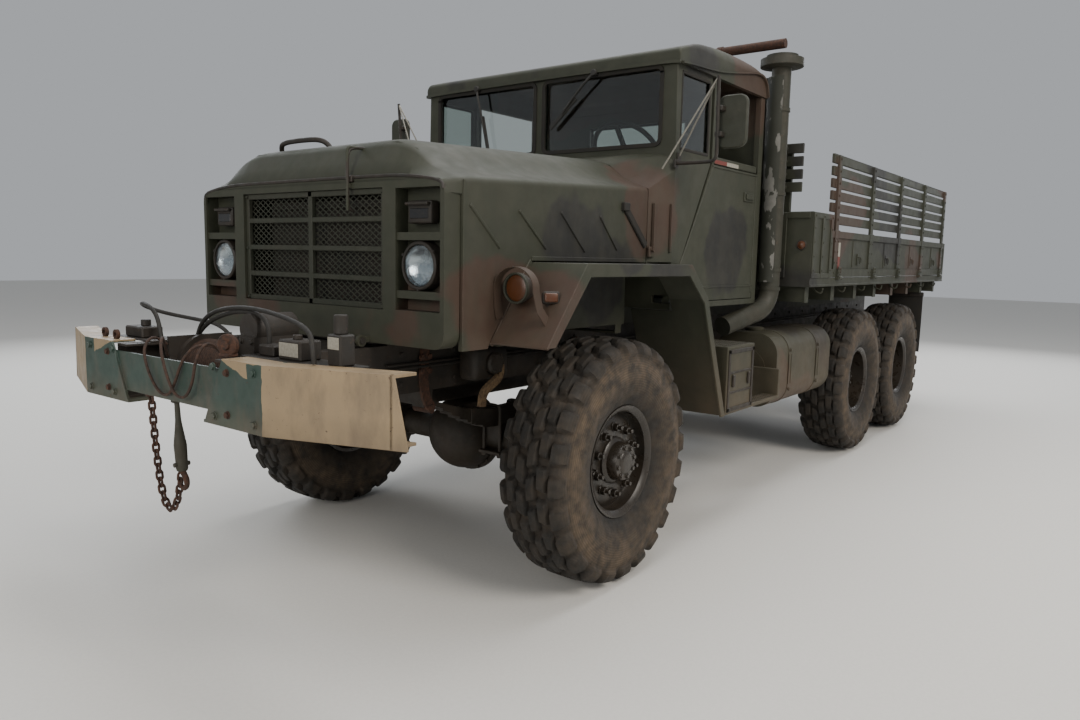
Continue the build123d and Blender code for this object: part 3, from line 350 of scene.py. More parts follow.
def plain_gloss(name, code, rough, metal=0.0, grime_per_metre=90.0, depth=0.0003):
    """A moulded or plated finish with faint grime."""
    made, tree, shader, coords = blank(name)
    colour = weathered(tree, coords, code, "3A342A", grime_per_metre, 5.0, [(0.35, 0.0), (0.9, 0.5)])
    dulled = [(0.2, rough), (0.9, min(rough + 0.25, 1.0))]
    wire(tree, shader,
        {"Base Color": colour, "Metallic": metal, "Roughness": patches(tree, coords, 20.0, 4.0, dulled),
        "Normal": grain(tree, coords, 300.0, 4.0, depth)})
    return made


rusty_steel = rust("rusty_steel", "523424", "241B16")
tyre_rubber = tyre_compound("tyre_rubber_muddy")
window_glass = clear_glass("window_safety_glass", "C9D2CE", 0.0)
lamp_glass = clear_glass("lamp_pressed_glass", "EEF4F6", 0.04)
amber_lens = plain_gloss("amber_acrylic", "4C2810", 0.25)
chrome = plain_gloss("reflector_chrome", "C9CDD0", 0.12, 1.0)
bare_steel = plain_gloss("galvanised_steel", "8E8B82", 0.4, 0.6)
red_tape = plain_gloss("red_reflective_tape", "6E2C22", 0.5)
white_tape = plain_gloss("white_reflective_tape", "9A968A", 0.5)
dark_glass = plain_gloss("blackout_glass", "15171A", 0.12)
cab_black = plain_gloss("cab_black_moulding", "1E1E1D", 0.55)
seat_duck = plain_gloss("seat_vinyl_duck", "3B3F31", 0.7, 0.0, 30.0, 0.001)
flap_rubber = plain_gloss("flap_rubber", "1D1C1A", 0.8, 0.0, 20.0, 0.001)
hose_rubber = plain_gloss("hose_rubber", "1B1A18", 0.6)
wire_rope_steel = rust("wire_rope_steel", "4A3428", "241B16")
sandy_steel = rust("sandy_steel", "7A6448", "3B2D20")


def peeling(name, paint_code, bare_code):
    """Green paint lifting off a pale primer in tall ragged patches, with blotches of soot on the primer."""
    made, tree, shader, coords = blank(name)
    bare = patches(tree, coords, 13.0, 6.0, [(0.545, 0.0), (0.565, 1.0)], 0.55, (1.0, 1.0, 0.45))
    pale = weathered(tree, coords, bare_code, "4B4A46", 30.0, 6.0, [(0.3, 0.0), (0.8, 0.6)])
    wire(tree, shader, {"Base Color": add(tree, "Mix", {0: bare, 6: paint_code, 7: pale}, data_type="RGBA"),
        "Roughness": 0.7,
        "Normal": add(tree, "Bump", {"Height": bare, "Distance": -0.0004, "Strength": 1.0})})
    return made


peeled_paint = peeling("peeled_stack_paint", "24261D", "6A6964")
pale_floor, floor_tree, floor_shader, floor_coords = blank("pale_studio_floor")
floor_tone = patches(floor_tree, floor_coords, 60.0, 2.0, [(0.3, "CFCDC8"), (0.7, "D3D1CC")])
wire(floor_tree, floor_shader, {"Base Color": floor_tone, "Roughness": 0.8})
floor_mesh.materials.append(pale_floor)

finish_of_slot = {
    "camo_paint": camo_paint,
    "bumper_paint": bumper_green,
    "mesh_paint": mesh_paint,
    "chassis_paint": chassis_paint,
    "rusty_steel": rusty_steel,
    "stack_paint": stack_paint,
    "tyre_rubber": tyre_rubber,
    "rim_paint": rim_paint,
    "window_glass": window_glass,
    "lamp_glass": lamp_glass,
    "amber_lens": amber_lens,
    "cab_black": cab_black,
    "seat_cover": seat_duck,
    "flap_rubber": flap_rubber,
}
for subpart in frame["record"]["subparts"]:
    data = nodes[subpart["node"]].data
    data.materials.clear()
    data.materials.append(finish_of_slot[subpart["material_slot"]])
print("finished CAD nodes:", len(nodes))

# %% [markdown]
# ## Shapes as arrays
# Every added piece is a surface worked out for all of its points at once. Stations, the distances along the
# truck, are counted from the front axle, forwards. A shape function returns its points and a list of face
# arrays; `join` stacks several shapes, and `piece` moves them to their place in the frame, puts them into one
# mesh, merges doubled points, turns the faces outwards and hands the object to the CAD body it moves with.

# %% Shape helpers


def grid_faces(rows, columns, wrap_rows=False, wrap_columns=False):
    """Quads between neighbours in a grid whose points are numbered row by row."""
    row, column = np.meshgrid(np.arange(rows - (not wrap_rows)), np.arange(columns - (not wrap_columns)),
        indexing="ij")
    row_after = (row + 1) % rows
    column_after = (column + 1) % columns
    quads = np.stack([row * columns + column, row * columns + column_after, row_after * columns
        + column_after, row_after * columns + column], -1)
    return quads.reshape(-1, 4)


def copies(faces, points_each, count):
    """The faces of one shape repeated for count shapes whose points follow one another."""
    return (faces[None] + np.arange(count)[:, None, None] * points_each).reshape(-1, faces.shape[1])


def join(*shapes):
    """Several shapes as one: points stacked, face numbers moved on by the points before them."""
    points = np.concatenate([shape[0] for shape in shapes])
    starts = np.cumsum([0] + [len(shape[0]) for shape in shapes])
    return points, [faces + start for shape, start in zip(shapes, starts) for faces in shape[1]]


def other_side(shape):
    """The same shape on the other side of the truck: Y changes sign and the faces turn round."""
    points, faces = shape
    return points * (1, -1, 1), [f[:, ::-1] for f in faces]


def mirrored(shape):
    """The shape together with its twin on the other side."""
    return join(shape, other_side(shape))


def piece(name, shape, finish, body="chassis", crease=35.0):
    """One object from a shape, moved from its station to its place: merged, faces outwards, and smooth except
    where faces meet above crease degrees."""
    points, faces = shape[0] + (axle_x, 0, 0), shape[1]
    data = bpy.data.meshes.new(name)
    data.from_pydata(points.tolist(), [], [face for block in faces for face in block.tolist()])
    merged = bmesh.new()
    merged.from_mesh(data)
    bmesh.ops.remove_doubles(merged, verts=merged.verts, dist=1e-5)
    bmesh.ops.dissolve_degenerate(merged, edges=merged.edges, dist=1e-6)
    bmesh.ops.recalc_face_normals(merged, faces=merged.faces)
    merged.to_mesh(data)
    merged.free()
    data.shade_smooth()
    data.set_sharp_from_angle(angle=np.radians(crease))
    data.materials.append(finish)
    made = bpy.data.objects.new(name, data)
    bpy.context.scene.collection.objects.link(made)
    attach(made, body)
    return made


def directions(along, lean=(0, 0, 1)):
    """Three unit vectors for each direction: along it, level across it and upright to both, as columns."""
    along = np.atleast_2d(np.asarray(along, float))
    along = along / np.linalg.norm(along, axis=1, keepdims=True)
    lean = np.broadcast_to(np.asarray(lean, float), along.shape)
    across = np.cross(lean, along)
    upright = np.linalg.norm(across, axis=1) < 0.2
    across[upright] = np.cross((0, 1.0, 0), along[upright])
    across /= np.linalg.norm(across, axis=1, keepdims=True)
    return np.stack([along, across, np.cross(along, across)], -1)


def soft_boxes(centres, halves, radius, steps=1, turns=None):
    """Rounded boxes: a sphere's grid pulled apart to the corners. Each point is the sign of its direction
    times (half size minus radius), plus radius times the direction, turned and moved to its place."""
    centres = np.atleast_2d(np.asarray(centres, float))
    halves = np.broadcast_to(np.asarray(halves, float), centres.shape)
    radius = np.minimum(radius, halves.min(1))[:, None, None]
    quarter = np.linspace(0, np.pi / 2, steps + 1)
    longitude = np.concatenate([quarter + k * np.pi / 2 for k in range(4)])
    sign_x = np.repeat([1, -1, -1, 1], steps + 1)
    sign_y = np.repeat([1, 1, -1, -1], steps + 1)
    latitude = np.concatenate([-quarter[::-1], quarter])
    sign_z = np.repeat([-1, 1], steps + 1)
    lat, lon = np.meshgrid(latitude, longitude, indexing="ij")
    ball = np.stack([np.cos(lat) * np.cos(lon), np.cos(lat) * np.sin(lon), np.sin(lat)], -1).reshape(-1, 3)
    rows, columns = lat.shape
    corner = np.stack([np.tile(sign_x, rows), np.tile(sign_y, rows), np.repeat(sign_z, columns)], -1)
    points = corner[None] * (halves[:, None] - radius) + radius * ball[None]
    if turns is not None:
        points = np.einsum("nij,nkj->nki", np.broadcast_to(turns, (len(centres), 3, 3)), points)
    points = points + centres[:, None]
    sides = copies(grid_faces(rows, columns, wrap_columns=True), rows * columns, len(centres))
    bottom = copies(np.arange(columns)[None, ::-1], rows * columns, len(centres))
    top = copies(np.arange(columns)[None] + (rows - 1) * columns, rows * columns, len(centres))
    return points.reshape(-1, 3), [sides, bottom, top]


def slabs(table, radius=0.004, steps=1):
    """Rounded boxes from rows of x0, x1, y0, y1, z0, z1 in metres."""
    table = np.atleast_2d(np.asarray(table, float))
    low = np.minimum(table[:, 0::2], table[:, 1::2])
    high = np.maximum(table[:, 0::2], table[:, 1::2])
    return soft_boxes((low + high) / 2, (high - low) / 2, radius, steps)


def strips(starts, ends, width, thick, radius=0.002, lean=(0, 0, 1)):
    """Flat bars from point to point: width across, thick upright to lean."""
    starts, ends = np.atleast_2d(np.asarray(starts, float)), np.atleast_2d(np.asarray(ends, float))
    length = np.linalg.norm(ends - starts, axis=1)
    halves = np.stack([length / 2, np.full(len(length), width / 2), np.full(len(length), thick / 2)], -1)
    return soft_boxes((starts + ends) / 2, halves, radius, 1, directions(ends - starts, lean))


def rods(starts, ends, radius, sides=12, chamfer=0.12):
    """Round bars with chamfered ends: four rings along each line, of radius r - c, r, r, r - c."""
    starts, ends = np.atleast_2d(np.asarray(starts, float)), np.atleast_2d(np.asarray(ends, float))
    radius = np.broadcast_to(np.asarray(radius, float), (len(starts),))
    frame_at = directions(ends - starts)
    length = np.linalg.norm(ends - starts, axis=1)
    cut = np.minimum(radius * chamfer, length * 0.3)
    along = np.stack([np.zeros_like(cut), cut, length - cut, length], -1)
    ring = np.stack([radius - cut, radius, radius, radius - cut], -1)
    angle = np.arange(sides) * 2 * np.pi / sides
    local = np.stack([np.broadcast_to(along[..., None], along.shape + (sides,)), ring[..., None]
        * np.cos(angle), ring[..., None] * np.sin(angle)], -1)
    points = np.einsum("nij,nrsj->nrsi", frame_at, local) + starts[:, None, None]
    each = 4 * sides
    return points.reshape(-1, 3), [copies(grid_faces(4, sides, wrap_columns=True), each, len(starts)),
        copies(np.arange(sides)[None], each, len(starts)),
        copies(np.arange(sides)[None] + 3 * sides, each, len(starts))]


def bolts(places, normal, across=0.019, height=0.01):
    """Hex heads on washers: six-sided rods over flat round ones, standing on their places."""
    places = np.atleast_2d(np.asarray(places, float))
    normal = np.broadcast_to(np.asarray(normal, float), places.shape)
    normal = normal / np.linalg.norm(normal, axis=1, keepdims=True)
    washer = rods(places - normal * 0.001, places + normal * 0.003, across * 0.72, 12)
    return join(washer, rods(places + normal * 0.002, places + normal * height, across / np.sqrt(3), 6))


def turned(profile, centre, along, sides=32, closed=False):
    """A profile of (distance along the axis, radius) turned about it; a radius of zero closes an end."""
    profile = np.asarray(profile, float)
    frame_at = directions(along)[0]
    angle = np.arange(sides) * 2 * np.pi / sides
    local = np.stack([np.broadcast_to(profile[:, :1], (len(profile), sides)), profile[:, 1:] * np.cos(angle),
        profile[:, 1:] * np.sin(angle)], -1)
    points = local @ frame_at.T + np.asarray(centre, float)
    return points.reshape(-1, 3), [grid_faces(len(profile), sides, closed, True)]


def hoop(half, inner, outer, centre, along, sides):
    """A round band: a rectangle from -half to half along the axis and from the inner to the outer radius."""
    profile = [(-half, inner), (-half, outer), (half, outer), (half, inner)]
    return turned(profile, centre, along, sides, True)


def smooth_line(corners, count):
    """A quadratic B-spline through the first and last corner, sampled at count points: each sample blends
    three neighbouring corners with the weights (1-t)^2/2, (1+2t-2t^2)/2 and t^2/2, or the end forms."""
    corners = np.asarray(corners, float)
    padded = np.concatenate([[2 * corners[0] - corners[1]], corners, [2 * corners[-1] - corners[-2]]])
    place = np.linspace(0, len(corners) - 1, count) + 0.5
    first = np.clip(np.floor(place).astype(int), 0, len(padded) - 3)
    t = (place - first)[:, None]
    return (padded[first] * (1 - t) ** 2 / 2 + padded[first + 1] * (1 + 2 * t - 2 * t * t) / 2
        + padded[first + 2] * t * t / 2)


def pipe(path, radius, sides=10, lean=(0, 0, 1)):
    """A closed tube along a path of points: at each point a ring square to the path's direction."""
    path = np.asarray(path, float)
    radius = np.broadcast_to(np.asarray(radius, float), (len(path),))
    frame_at = directions(np.gradient(path, axis=0), lean)
    angle = np.arange(sides) * 2 * np.pi / sides
    local = np.stack([np.zeros((len(path), sides)), radius[:, None] * np.cos(angle), radius[:, None]
        * np.sin(angle)], -1)
    points = np.einsum("nij,nsj->nsi", frame_at, local) + path[:, None]
    last = (len(path) - 1) * sides
    return points.reshape(-1, 3), [grid_faces(len(path), sides, wrap_columns=True), np.arange(sides)[None],
        np.arange(sides)[None] + last]


def ribbon(path, width, thick, lean=(0, 0, 1)):
    """A flat bar bent along a path: a rectangle carried along it, its width level with lean's cross."""
    path = np.asarray(path, float)
    frame_at = directions(np.gradient(path, axis=0), lean)
    corner = np.array([(0, 1, 1), (0, -1, 1), (0, -1, -1), (0, 1, -1)]) * (0, width / 2, thick / 2)
    points = np.einsum("nij,sj->nsi", frame_at, corner) + path[:, None]
    last = (len(path) - 1) * 4
    return points.reshape(-1, 3), [grid_faces(len(path), 4, wrap_columns=True), np.arange(4)[None],
        np.arange(4)[None] + last]


def plate(outline, origin, first, second, thick):
    """A flat plate: an outline in two directions from an origin, given thickness along their cross."""
    outline = np.asarray(outline, float)
    first, second = np.asarray(first, float), np.asarray(second, float)
    through = np.cross(first, second)
    flat = np.asarray(origin, float) + outline[:, :1] * first + outline[:, 1:] * second
    count = len(outline)
    points = np.concatenate([flat, flat + through * thick])
    return points, [grid_faces(2, count, wrap_columns=True), np.arange(count)[None, ::-1],
        np.arange(count)[None] + count]


def relief(front, back):
    """A closed sheet from two grids of points of the same shape, front and back, joined at the rim."""
    rows, columns = front.shape[:2]
    count = rows * columns
    number = np.arange(count).reshape(rows, columns)
    rim = np.concatenate([number[0, :-1], number[:-1, -1], number[-1, :0:-1], number[:0:-1, 0]])
    after = np.roll(rim, -1)
    edge = np.stack([rim, after, after + count, rim + count], -1)
    faces = grid_faces(rows, columns)
    return (np.concatenate([front.reshape(-1, 3), back.reshape(-1, 3)]),
        [faces, faces[:, ::-1] + count, edge])


print("shape helpers ready")

# %% [markdown]
# ## Rounded edges on the CAD panels
# Pressed sheet and sawn boards never have razor edges; a radius of a few millimetres catches the light. The
# CAD meshes come as loose triangles, so modifiers do the work without touching the mesh: Weld joins the
# triangles, Decimate in planar mode turns each flat face back into one polygon, and Bevel rounds the corners
# that are left. A face with a window in it can't be one polygon, so those parts skip the second step.

# %% Rounded CAD edges
edge_radius = {
    "grille_shell": 0.006, "fenders": 0.004, "cab_tub": 0.006, "cab_back": 0.004,
    "windshield_frame": 0.005, "door_left": 0.005, "door_right": 0.005,
    "bed_floor": 0.004, "front_rack": 0.004, "dropside_left": 0.004, "dropside_right": 0.004,
    "rack_left": 0.004, "rack_right": 0.004, "tailgate": 0.004, "step_boxes": 0.006, "frame_rails": 0.003,
    "bumper": 0.005, "winch": 0.004, "dashboard": 0.012, "engine_block": 0.01, "drive_line": 0.01,
    "leaf_springs": 0.002, "mud_flaps": 0.002,
}
windowed = ("grille_shell", "cab_tub", "cab_back", "windshield_frame", "fenders")
for name, radius in edge_radius.items():
    cad_part = nodes[name]
    weld = cad_part.modifiers.new("join_triangles", "WELD")
    weld.merge_threshold = 0.00005
    if name not in windowed:
        flat = cad_part.modifiers.new("flat_faces", "DECIMATE")
        flat.decimate_type = "DISSOLVE"
        flat.angle_limit = np.radians(0.6)
    rounded = cad_part.modifiers.new("rounded_edges", "BEVEL")
    rounded.width = radius
    rounded.segments = 3
    rounded.limit_method = "ANGLE"
    rounded.angle_limit = np.radians(28)
    rounded.use_clamp_overlap = True
    rounded.harden_normals = False
    rounded.miter_outer = "MITER_ARC"
print("rounded CAD parts:", len(edge_radius))

# %% [markdown]
# ## Tyres
# Military 14.00 R 20 tyres: a round-shouldered carcass with six staggered rows of thick blocks, the outer
# ones running down over the shoulder. The surface is a grid of angle against the distance across the section.
# Each row of blocks is a smooth step up where its phase says so, and the whole grid is pushed out along the
# carcass's own normal by that height, so the blocks lean outwards at the shoulder as moulded ones do.

# %% Tyre surface
blocks_around = 24
samples_per_block = 15
block_height = 0.03
carcass = np.array([
    # across from the middle, radius
    (0.0, 0.584), (0.06, 0.583), (0.11, 0.578), (0.14, 0.571), (0.158, 0.556), (0.169, 0.53),
    (0.178, 0.495), (0.185, 0.45), (0.184, 0.405), (0.174, 0.36), (0.158, 0.322), (0.143, 0.3),
    (0.14, 0.288), (0.128, 0.286), (0.12, 0.262),
])


def rise(value, start, width):
    """0 before start, 1 after start + width, and 3t^2 - 2t^3 between."""
    t = np.clip((value - start) / width, 0, 1)
    return t * t * (3 - 2 * t)


def band(value, low, high, soft):
    """1 between low and high, falling smoothly to 0 over soft on both sides."""
    return rise(value, low - soft / 2, soft) * (1 - rise(value, high - soft / 2, soft))


def tyre_shape(x, y, side):
    """Angle u by section distance v. Point = carcass(v) + normal(v) * blocks(u, v), turned about the axle."""
    line = smooth_line(carcass, 400)
    along = np.concatenate([[0], np.cumsum(np.linalg.norm(np.diff(line, axis=0), axis=1))])
    wanted = np.concatenate([np.linspace(0, 0.205, 38), np.linspace(0.205, along[-1], 16)[1:]])
    half = np.column_stack([np.interp(wanted, along, line[:, 0]), np.interp(wanted, along, line[:, 1])])
    section = np.concatenate([half[::-1] * (-1, 1), half[1:]])
    tangent = np.gradient(section, axis=0)
    tangent /= np.linalg.norm(tangent, axis=1, keepdims=True)
    normal = np.stack([-tangent[:, 1], tangent[:, 0]], -1)
    angle = np.arange(blocks_around * samples_per_block) / (blocks_around * samples_per_block)
    across, around = np.meshgrid(section[:, 0], angle * blocks_around, indexing="ij")
    radius = np.broadcast_to(section[:, 1:], across.shape)
    out = np.abs(across)
    way = np.sign(across)
    skew = out * 2.4
    first_phase = (around + 0.25 * way + skew) % 1
    first = band(first_phase, 0.13, 0.87, 0.11) * band(out, 0.004, 0.052, 0.008)
    second_phase = (around + 0.25 * way + 0.5 - skew * 0.6) % 1
    second = band(second_phase, 0.15, 0.85, 0.11) * band(out, 0.06, 0.106, 0.008)
    outer_phase = (around + 0.25 * way + skew * 0.5) % 1
    outer = band(outer_phase, 0.18, 0.82, 0.11) * rise(out, 0.112, 0.008) * rise(radius, 0.52, 0.02)
    fade = 1 - 0.35 * rise(-radius, -0.58, 0.05)
    rings = 0.003 * sum(band(radius, low, low + 0.008, 0.006) for low in (0.395, 0.42, 0.445, 0.47, 0.492))
    height = block_height * (first + second + outer * fade) + rings * (out > 0.1)
    w = across + normal[:, :1] * height
    r = radius + normal[:, 1:] * height
    turn = 2 * np.pi * angle
    points = np.stack([x + r * np.sin(turn), y + side * w, wheel_radius + r * np.cos(turn)], -1)
    return points.reshape(-1, 3), [grid_faces(*across.shape, wrap_rows=True, wrap_columns=True)]


wheel_names = [name[5:] for name in nodes if name.startswith("tyre_")]
wheel_places = {}
for name in wheel_names:
    low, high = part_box("tyre_" + name)
    wheel_places[name] = ((low.x + high.x) / 2 - axle_x, (low.y + high.y) / 2, 1 if low.y > 0 else -1)
for name, (x, y, side) in wheel_places.items():
    tyre = piece("tread_" + name, tyre_shape(x, y, side), tyre_rubber, "wheel_" + name, 50)
    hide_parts("tyre_" + name)
print("tyres:", len(wheel_places), "with", len(tyre.data.polygons), "faces each")

# %% [markdown]
# ## Rims and hubs
# Pressed steel discs in rolled barrels. The front ones bulge outwards around a big reduction hub, the rear
# ones are dished inwards because they once could have carried twins. Ten wheel nuts hold each disc.

# %% Rims
rim_barrel = [(0.139, 0.281), (0.128, 0.282), (0.123, 0.2565), (-0.123, 0.2565), (-0.128, 0.282),
    (-0.139, 0.281), (-0.136, 0.262), (-0.12, 0.247)]
front_disc = [(0.02, 0.246), (0.042, 0.236), (0.056, 0.205), (0.063, 0.15), (0.063, 0.09), (0.08, 0.09),
    (0.084, 0.15), (0.076, 0.208), (0.062, 0.24), (0.074, 0.247)]
rear_disc = [(-0.09, 0.246), (-0.078, 0.236), (-0.062, 0.205), (-0.047, 0.15), (-0.047, 0.09),
    (-0.028, 0.09), (-0.026, 0.15), (-0.04, 0.208), (-0.058, 0.24), (-0.046, 0.247)]
rim_lip = [(0.118, 0.248), (0.134, 0.262)]
nut_circle = 0.1675
nut_count = 10


def wheel_centre_shape(x, y, side, front):
    """The turned barrel and disc, the hub, its cap bolts, the nuts on their studs and the drum behind."""
    centre = (x, y, wheel_radius)
    out = (0, side, 0)
    disc = front_disc if front else rear_disc
    face = 0.084 if front else -0.026
    hub_end = 0.168 if front else 0.066
    rim = turned(rim_barrel + disc + rim_lip, centre, out, 64, True)
    hub = turned([(face - 0.03, 0.0), (face - 0.03, 0.118), (face + 0.01, 0.118), (face + 0.016, 0.112),
        (face + 0.022, 0.098), (hub_end - 0.02, 0.092), (hub_end - 0.012, 0.088), (hub_end - 0.01, 0.06),
        (hub_end - 0.004, 0.054), (hub_end, 0.04), (hub_end, 0.0)], centre, out, 40)
    drum = turned([(-0.135, 0.13), (-0.135, 0.205), (-0.128, 0.209), (-0.05, 0.209), (-0.046, 0.204),
        (-0.046, 0.13)], centre, out, 48, True)
    turn = np.arange(nut_count) * 2 * np.pi / nut_count
    circle = np.stack([np.sin(turn), 0 * turn, np.cos(turn)], -1)
    nuts = np.array(centre) + circle * nut_circle + np.array(out) * face
    bolt_turn = np.arange(8) * np.pi / 4 + 0.2
    cap = np.stack([np.sin(bolt_turn), 0 * bolt_turn, np.cos(bolt_turn)], -1)
    caps = np.array(centre) + cap * 0.074 + np.array(out) * (hub_end - 0.0105)
    studs = rods(nuts, nuts + np.array(out) * 0.047, 0.0105, 10)
    valve_at = np.array(centre) + (0.226, side * (face + 0.01), 0.0)
    valve = rods([valve_at], [valve_at + (0.004, side * 0.045, 0.0)], 0.0045, 8)
    return join(rim, hub, drum, bolts(nuts, out, 0.036, 0.027), studs, bolts(caps, out, 0.02, 0.01), valve)


for name, (x, y, side) in wheel_places.items():
    rim = piece("wheel_disc_" + name, wheel_centre_shape(x, y, side, name.startswith("front")), rim_paint,
        "wheel_" + name)
    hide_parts("rim_" + name)
print("rims:", len(wheel_places))

# %% [markdown]
# ## Hood and roof panels
# The hood is one deep pressing: flat sides, a rolled shoulder, a hollow slope, a raised crown, and a brow
# that falls to the grille. The CAD has its flats; here the same corners are joined by curves, as a press
# would. Three outlines across the truck, at the lip, at the front of the crown and at the cowl, are drawn
# with the same number of points, and a curve along the truck blends them. The roof is a pressing too: the
# lower of a lengthwise and a crosswise curve, eased into each other, with rolled edges all round.

# %% Hood panel
sheet_look = 0.02


def softened(corners, reach, samples=9):
    """A polyline whose inner corners become quadratic curves (1-t)^2 A + 2t(1-t) C + t^2 B, where A and B lie
    reach away from the corner C on either side, or half way to the next corner if that is nearer."""
    corners = np.asarray(corners, float)
    t = np.linspace(0, 1, samples)[:, None]
    bends = [corners[:1]]
    for before, corner, after, far in zip(corners, corners[1:], corners[2:], reach):
        near = corner + (before - corner) * min(far / np.linalg.norm(before - corner), 0.5)
        next_one = corner + (after - corner) * min(far / np.linalg.norm(after - corner), 0.5)
        bends.append((1 - t) ** 2 * near + 2 * t * (1 - t) * corner + t ** 2 * next_one)
    return np.concatenate(bends + [corners[-1:]])


def inward(grid, thick):
    """The same grid moved inwards by thick, square to its outline across the truck."""
    along = np.gradient(grid[..., 1:], axis=1)
    along /= np.maximum(np.linalg.norm(along, axis=-1, keepdims=True), 1e-9)
    moved = grid.copy()
    moved[..., 1] += along[..., 1] * thick * -1
    moved[..., 2] += along[..., 0] * thick
    return moved


across_reach = (0.024, 0.06, 0.055, 0.06)


def hood_outline(x, edge, crown, lift):
    """One whole outline at a station: side, shoulder, slope and crown, mirrored."""
    half = softened([(edge, crown - 0.3), (edge, crown - 0.178 + lift / 2), (0.75, crown - 0.128 + lift),
        (0.638, crown - 0.036 + lift), (0.52, crown + lift), (0.0, crown + lift)], across_reach)
    whole = np.concatenate([half, (half[::-1] * (-1, 1))[1:]])
    return np.column_stack([np.full(len(whole), x), whole])


lip_half = softened([(0.884, 1.863), (0.874, 1.919), (0.74, 1.939), (0.63, 1.947), (0.52, 1.949),
    (0.0, 1.949)], across_reach)
lip_whole = np.concatenate([lip_half, (lip_half[::-1] * (-1, 1))[1:]])
lip = np.column_stack([np.full(len(lip_whole), 0.986), lip_whole])
crown_front = hood_outline(0.897, 0.9, 2.104, 0.012)
crown_rear = hood_outline(-0.6, 0.9, 2.18, 0.001)
toward_lip, toward_cowl = 0.24, 0.05
t = np.linspace(0, 1, 15)
weight_lip = np.concatenate([[1.0, 0.6], (1 - t) ** 2 * toward_lip, np.zeros(60)])
weight_cowl = np.concatenate([[0.0, 0.0], t ** 2 * toward_cowl, np.linspace(toward_cowl, 1, 61)[1:]])
panel = (weight_lip[:, None, None] * lip + weight_cowl[:, None, None] * crown_rear
    + (1 - weight_lip - weight_cowl)[:, None, None] * crown_front)
skirt = np.interp(panel[:, 0, 0], [-0.6, 0.43, 0.72, 0.721, 0.895, 0.896, 1.0],
    [1.596, 1.596, 1.236, 1.212, 1.212, 1.866, 1.866])
panel[:, 0, 2] = skirt
panel[:, -1, 2] = skirt
hood_panel = piece("hood_panel", relief(panel, inward(panel, sheet_look)), camo_paint, "hood",
    40)
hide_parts("hood_shell")
print("hood panel from", round(float(panel[..., 2].min()), 3), "to", round(float(panel[..., 2].max()), 3),
    "m high")

# %% Roof panel
roof_front_x, roof_rear_x, roof_edge_y, roof_foot_z = -0.757, -1.997, 0.982, 2.7
roof_profile = softened([(-0.757, 2.778), (-1.0, 2.852), (-1.45, 2.912), (-1.8, 2.918), (-1.95, 2.842),
    (-1.997, 2.762)], (0.1, 0.16, 0.15, 0.08))
roof_arch = softened([(0.0, 2.962), (0.8, 2.962), (0.93, 2.897), (0.982, 2.832)], (0.08, 0.05))


def rolled(distance, radius):
    """How far a rolled edge drops at a distance d from it: r - sqrt(r^2 - (r - d)^2), d kept in 0 to r."""
    return radius - np.sqrt(radius ** 2 - (radius - np.clip(distance, 0, radius)) ** 2)


def eased_lower(first, second, width):
    """The lower of two heights, eased where they cross: h = clip(1/2 + (second - first) / 2w, 0, 1),
    height = second + (first - second) h - w h (1 - h)."""
    share = np.clip(0.5 + 0.5 * (second - first) / width, 0, 1)
    return second + (first - second) * share - width * share * (1 - share)


def roof_grid():
    """Height over a grid of stations and widths, with the four walls as its outermost rows and columns."""
    share = (1 - np.cos(np.linspace(0, np.pi, 61))) / 2
    x = np.pad(roof_front_x + (roof_rear_x - roof_front_x) * share, 1, mode="edge")
    y = np.pad(roof_edge_y * (1 - 2 * share), 1, mode="edge")
    along = np.interp(-x, -roof_profile[:, 0], roof_profile[:, 1])
    arch = np.interp(np.abs(y), roof_arch[:, 0], roof_arch[:, 1])
    height = eased_lower(along[:, None], arch[None], 0.03)
    height = height - rolled(np.minimum(roof_front_x - x, x - roof_rear_x), 0.022)[:, None]
    height = height - rolled(roof_edge_y - np.abs(y), 0.022)[None]
    height[[0, -1]] = roof_foot_z
    height[:, [0, -1]] = roof_foot_z
    wide, deep = np.meshgrid(y, x)
    outer = np.stack([deep, wide, height], -1)
    inner = np.stack([np.clip(deep, roof_rear_x + 0.03, roof_front_x - 0.03),
        np.clip(wide, 0.03 - roof_edge_y, roof_edge_y - 0.03), np.maximum(height - 0.035, roof_foot_z)], -1)
    return outer, inner


roof_panel = piece("roof_panel", relief(*roof_grid()), camo_paint, "chassis", 40)
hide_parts("cab_roof")
print("roof panel faces:", len(roof_panel.data.polygons))

# %% [markdown]
# ## Grille
# Expanded metal is a slit sheet pulled open into diamonds, here about 43 by 27 mm, so the dark radiator shows
# through it. Each strand is a zigzag line with a small rectangular section. Neighbouring lines zig the other
# way and touch at the knots. A flat frame, one upright and three level bars hold the sheet.

# %% Expanded mesh
diamond_wide = 0.0433
diamond_high = 0.0275
strand_half_width = 0.003
strand_half_thick = 0.0013
mesh_low, mesh_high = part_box("grille_mesh")


def expanded_sheet(x, y0, y1, z0, z1):
    """Strand i, knot j: the height is z0 + i * half a diamond + (-1)^(i+j) * a quarter diamond."""
    knots = int(round((y1 - y0) / (diamond_wide / 2))) + 1
    strands = int(round((z1 - z0) / (diamond_high / 2)))
    strand, knot = np.meshgrid(np.arange(strands), np.arange(knots), indexing="ij")
    zig = 1 - 2 * ((strand + knot) % 2)
    pitch = (z1 - z0) / strands
    y = y0 + (y1 - y0) * knot / (knots - 1)
    z = z0 + (strand + 0.5) * pitch + zig * pitch / 2
    centre = np.stack([x + 0.0018 * zig, y, z], -1)
    corner = np.array([(-1, 0, -1), (-1, 0, 1), (1, 0, 1), (1, 0, -1)]) * (strand_half_thick, 0,
        strand_half_width)
    points = centre[:, :, None] + corner
    each = knots * 4
    return points.reshape(-1, 3), [copies(grid_faces(knots, 4, wrap_columns=True), each, strands),
        copies(np.arange(4)[None], each, strands), copies(np.arange(4)[None] + each - 4, each, strands)]


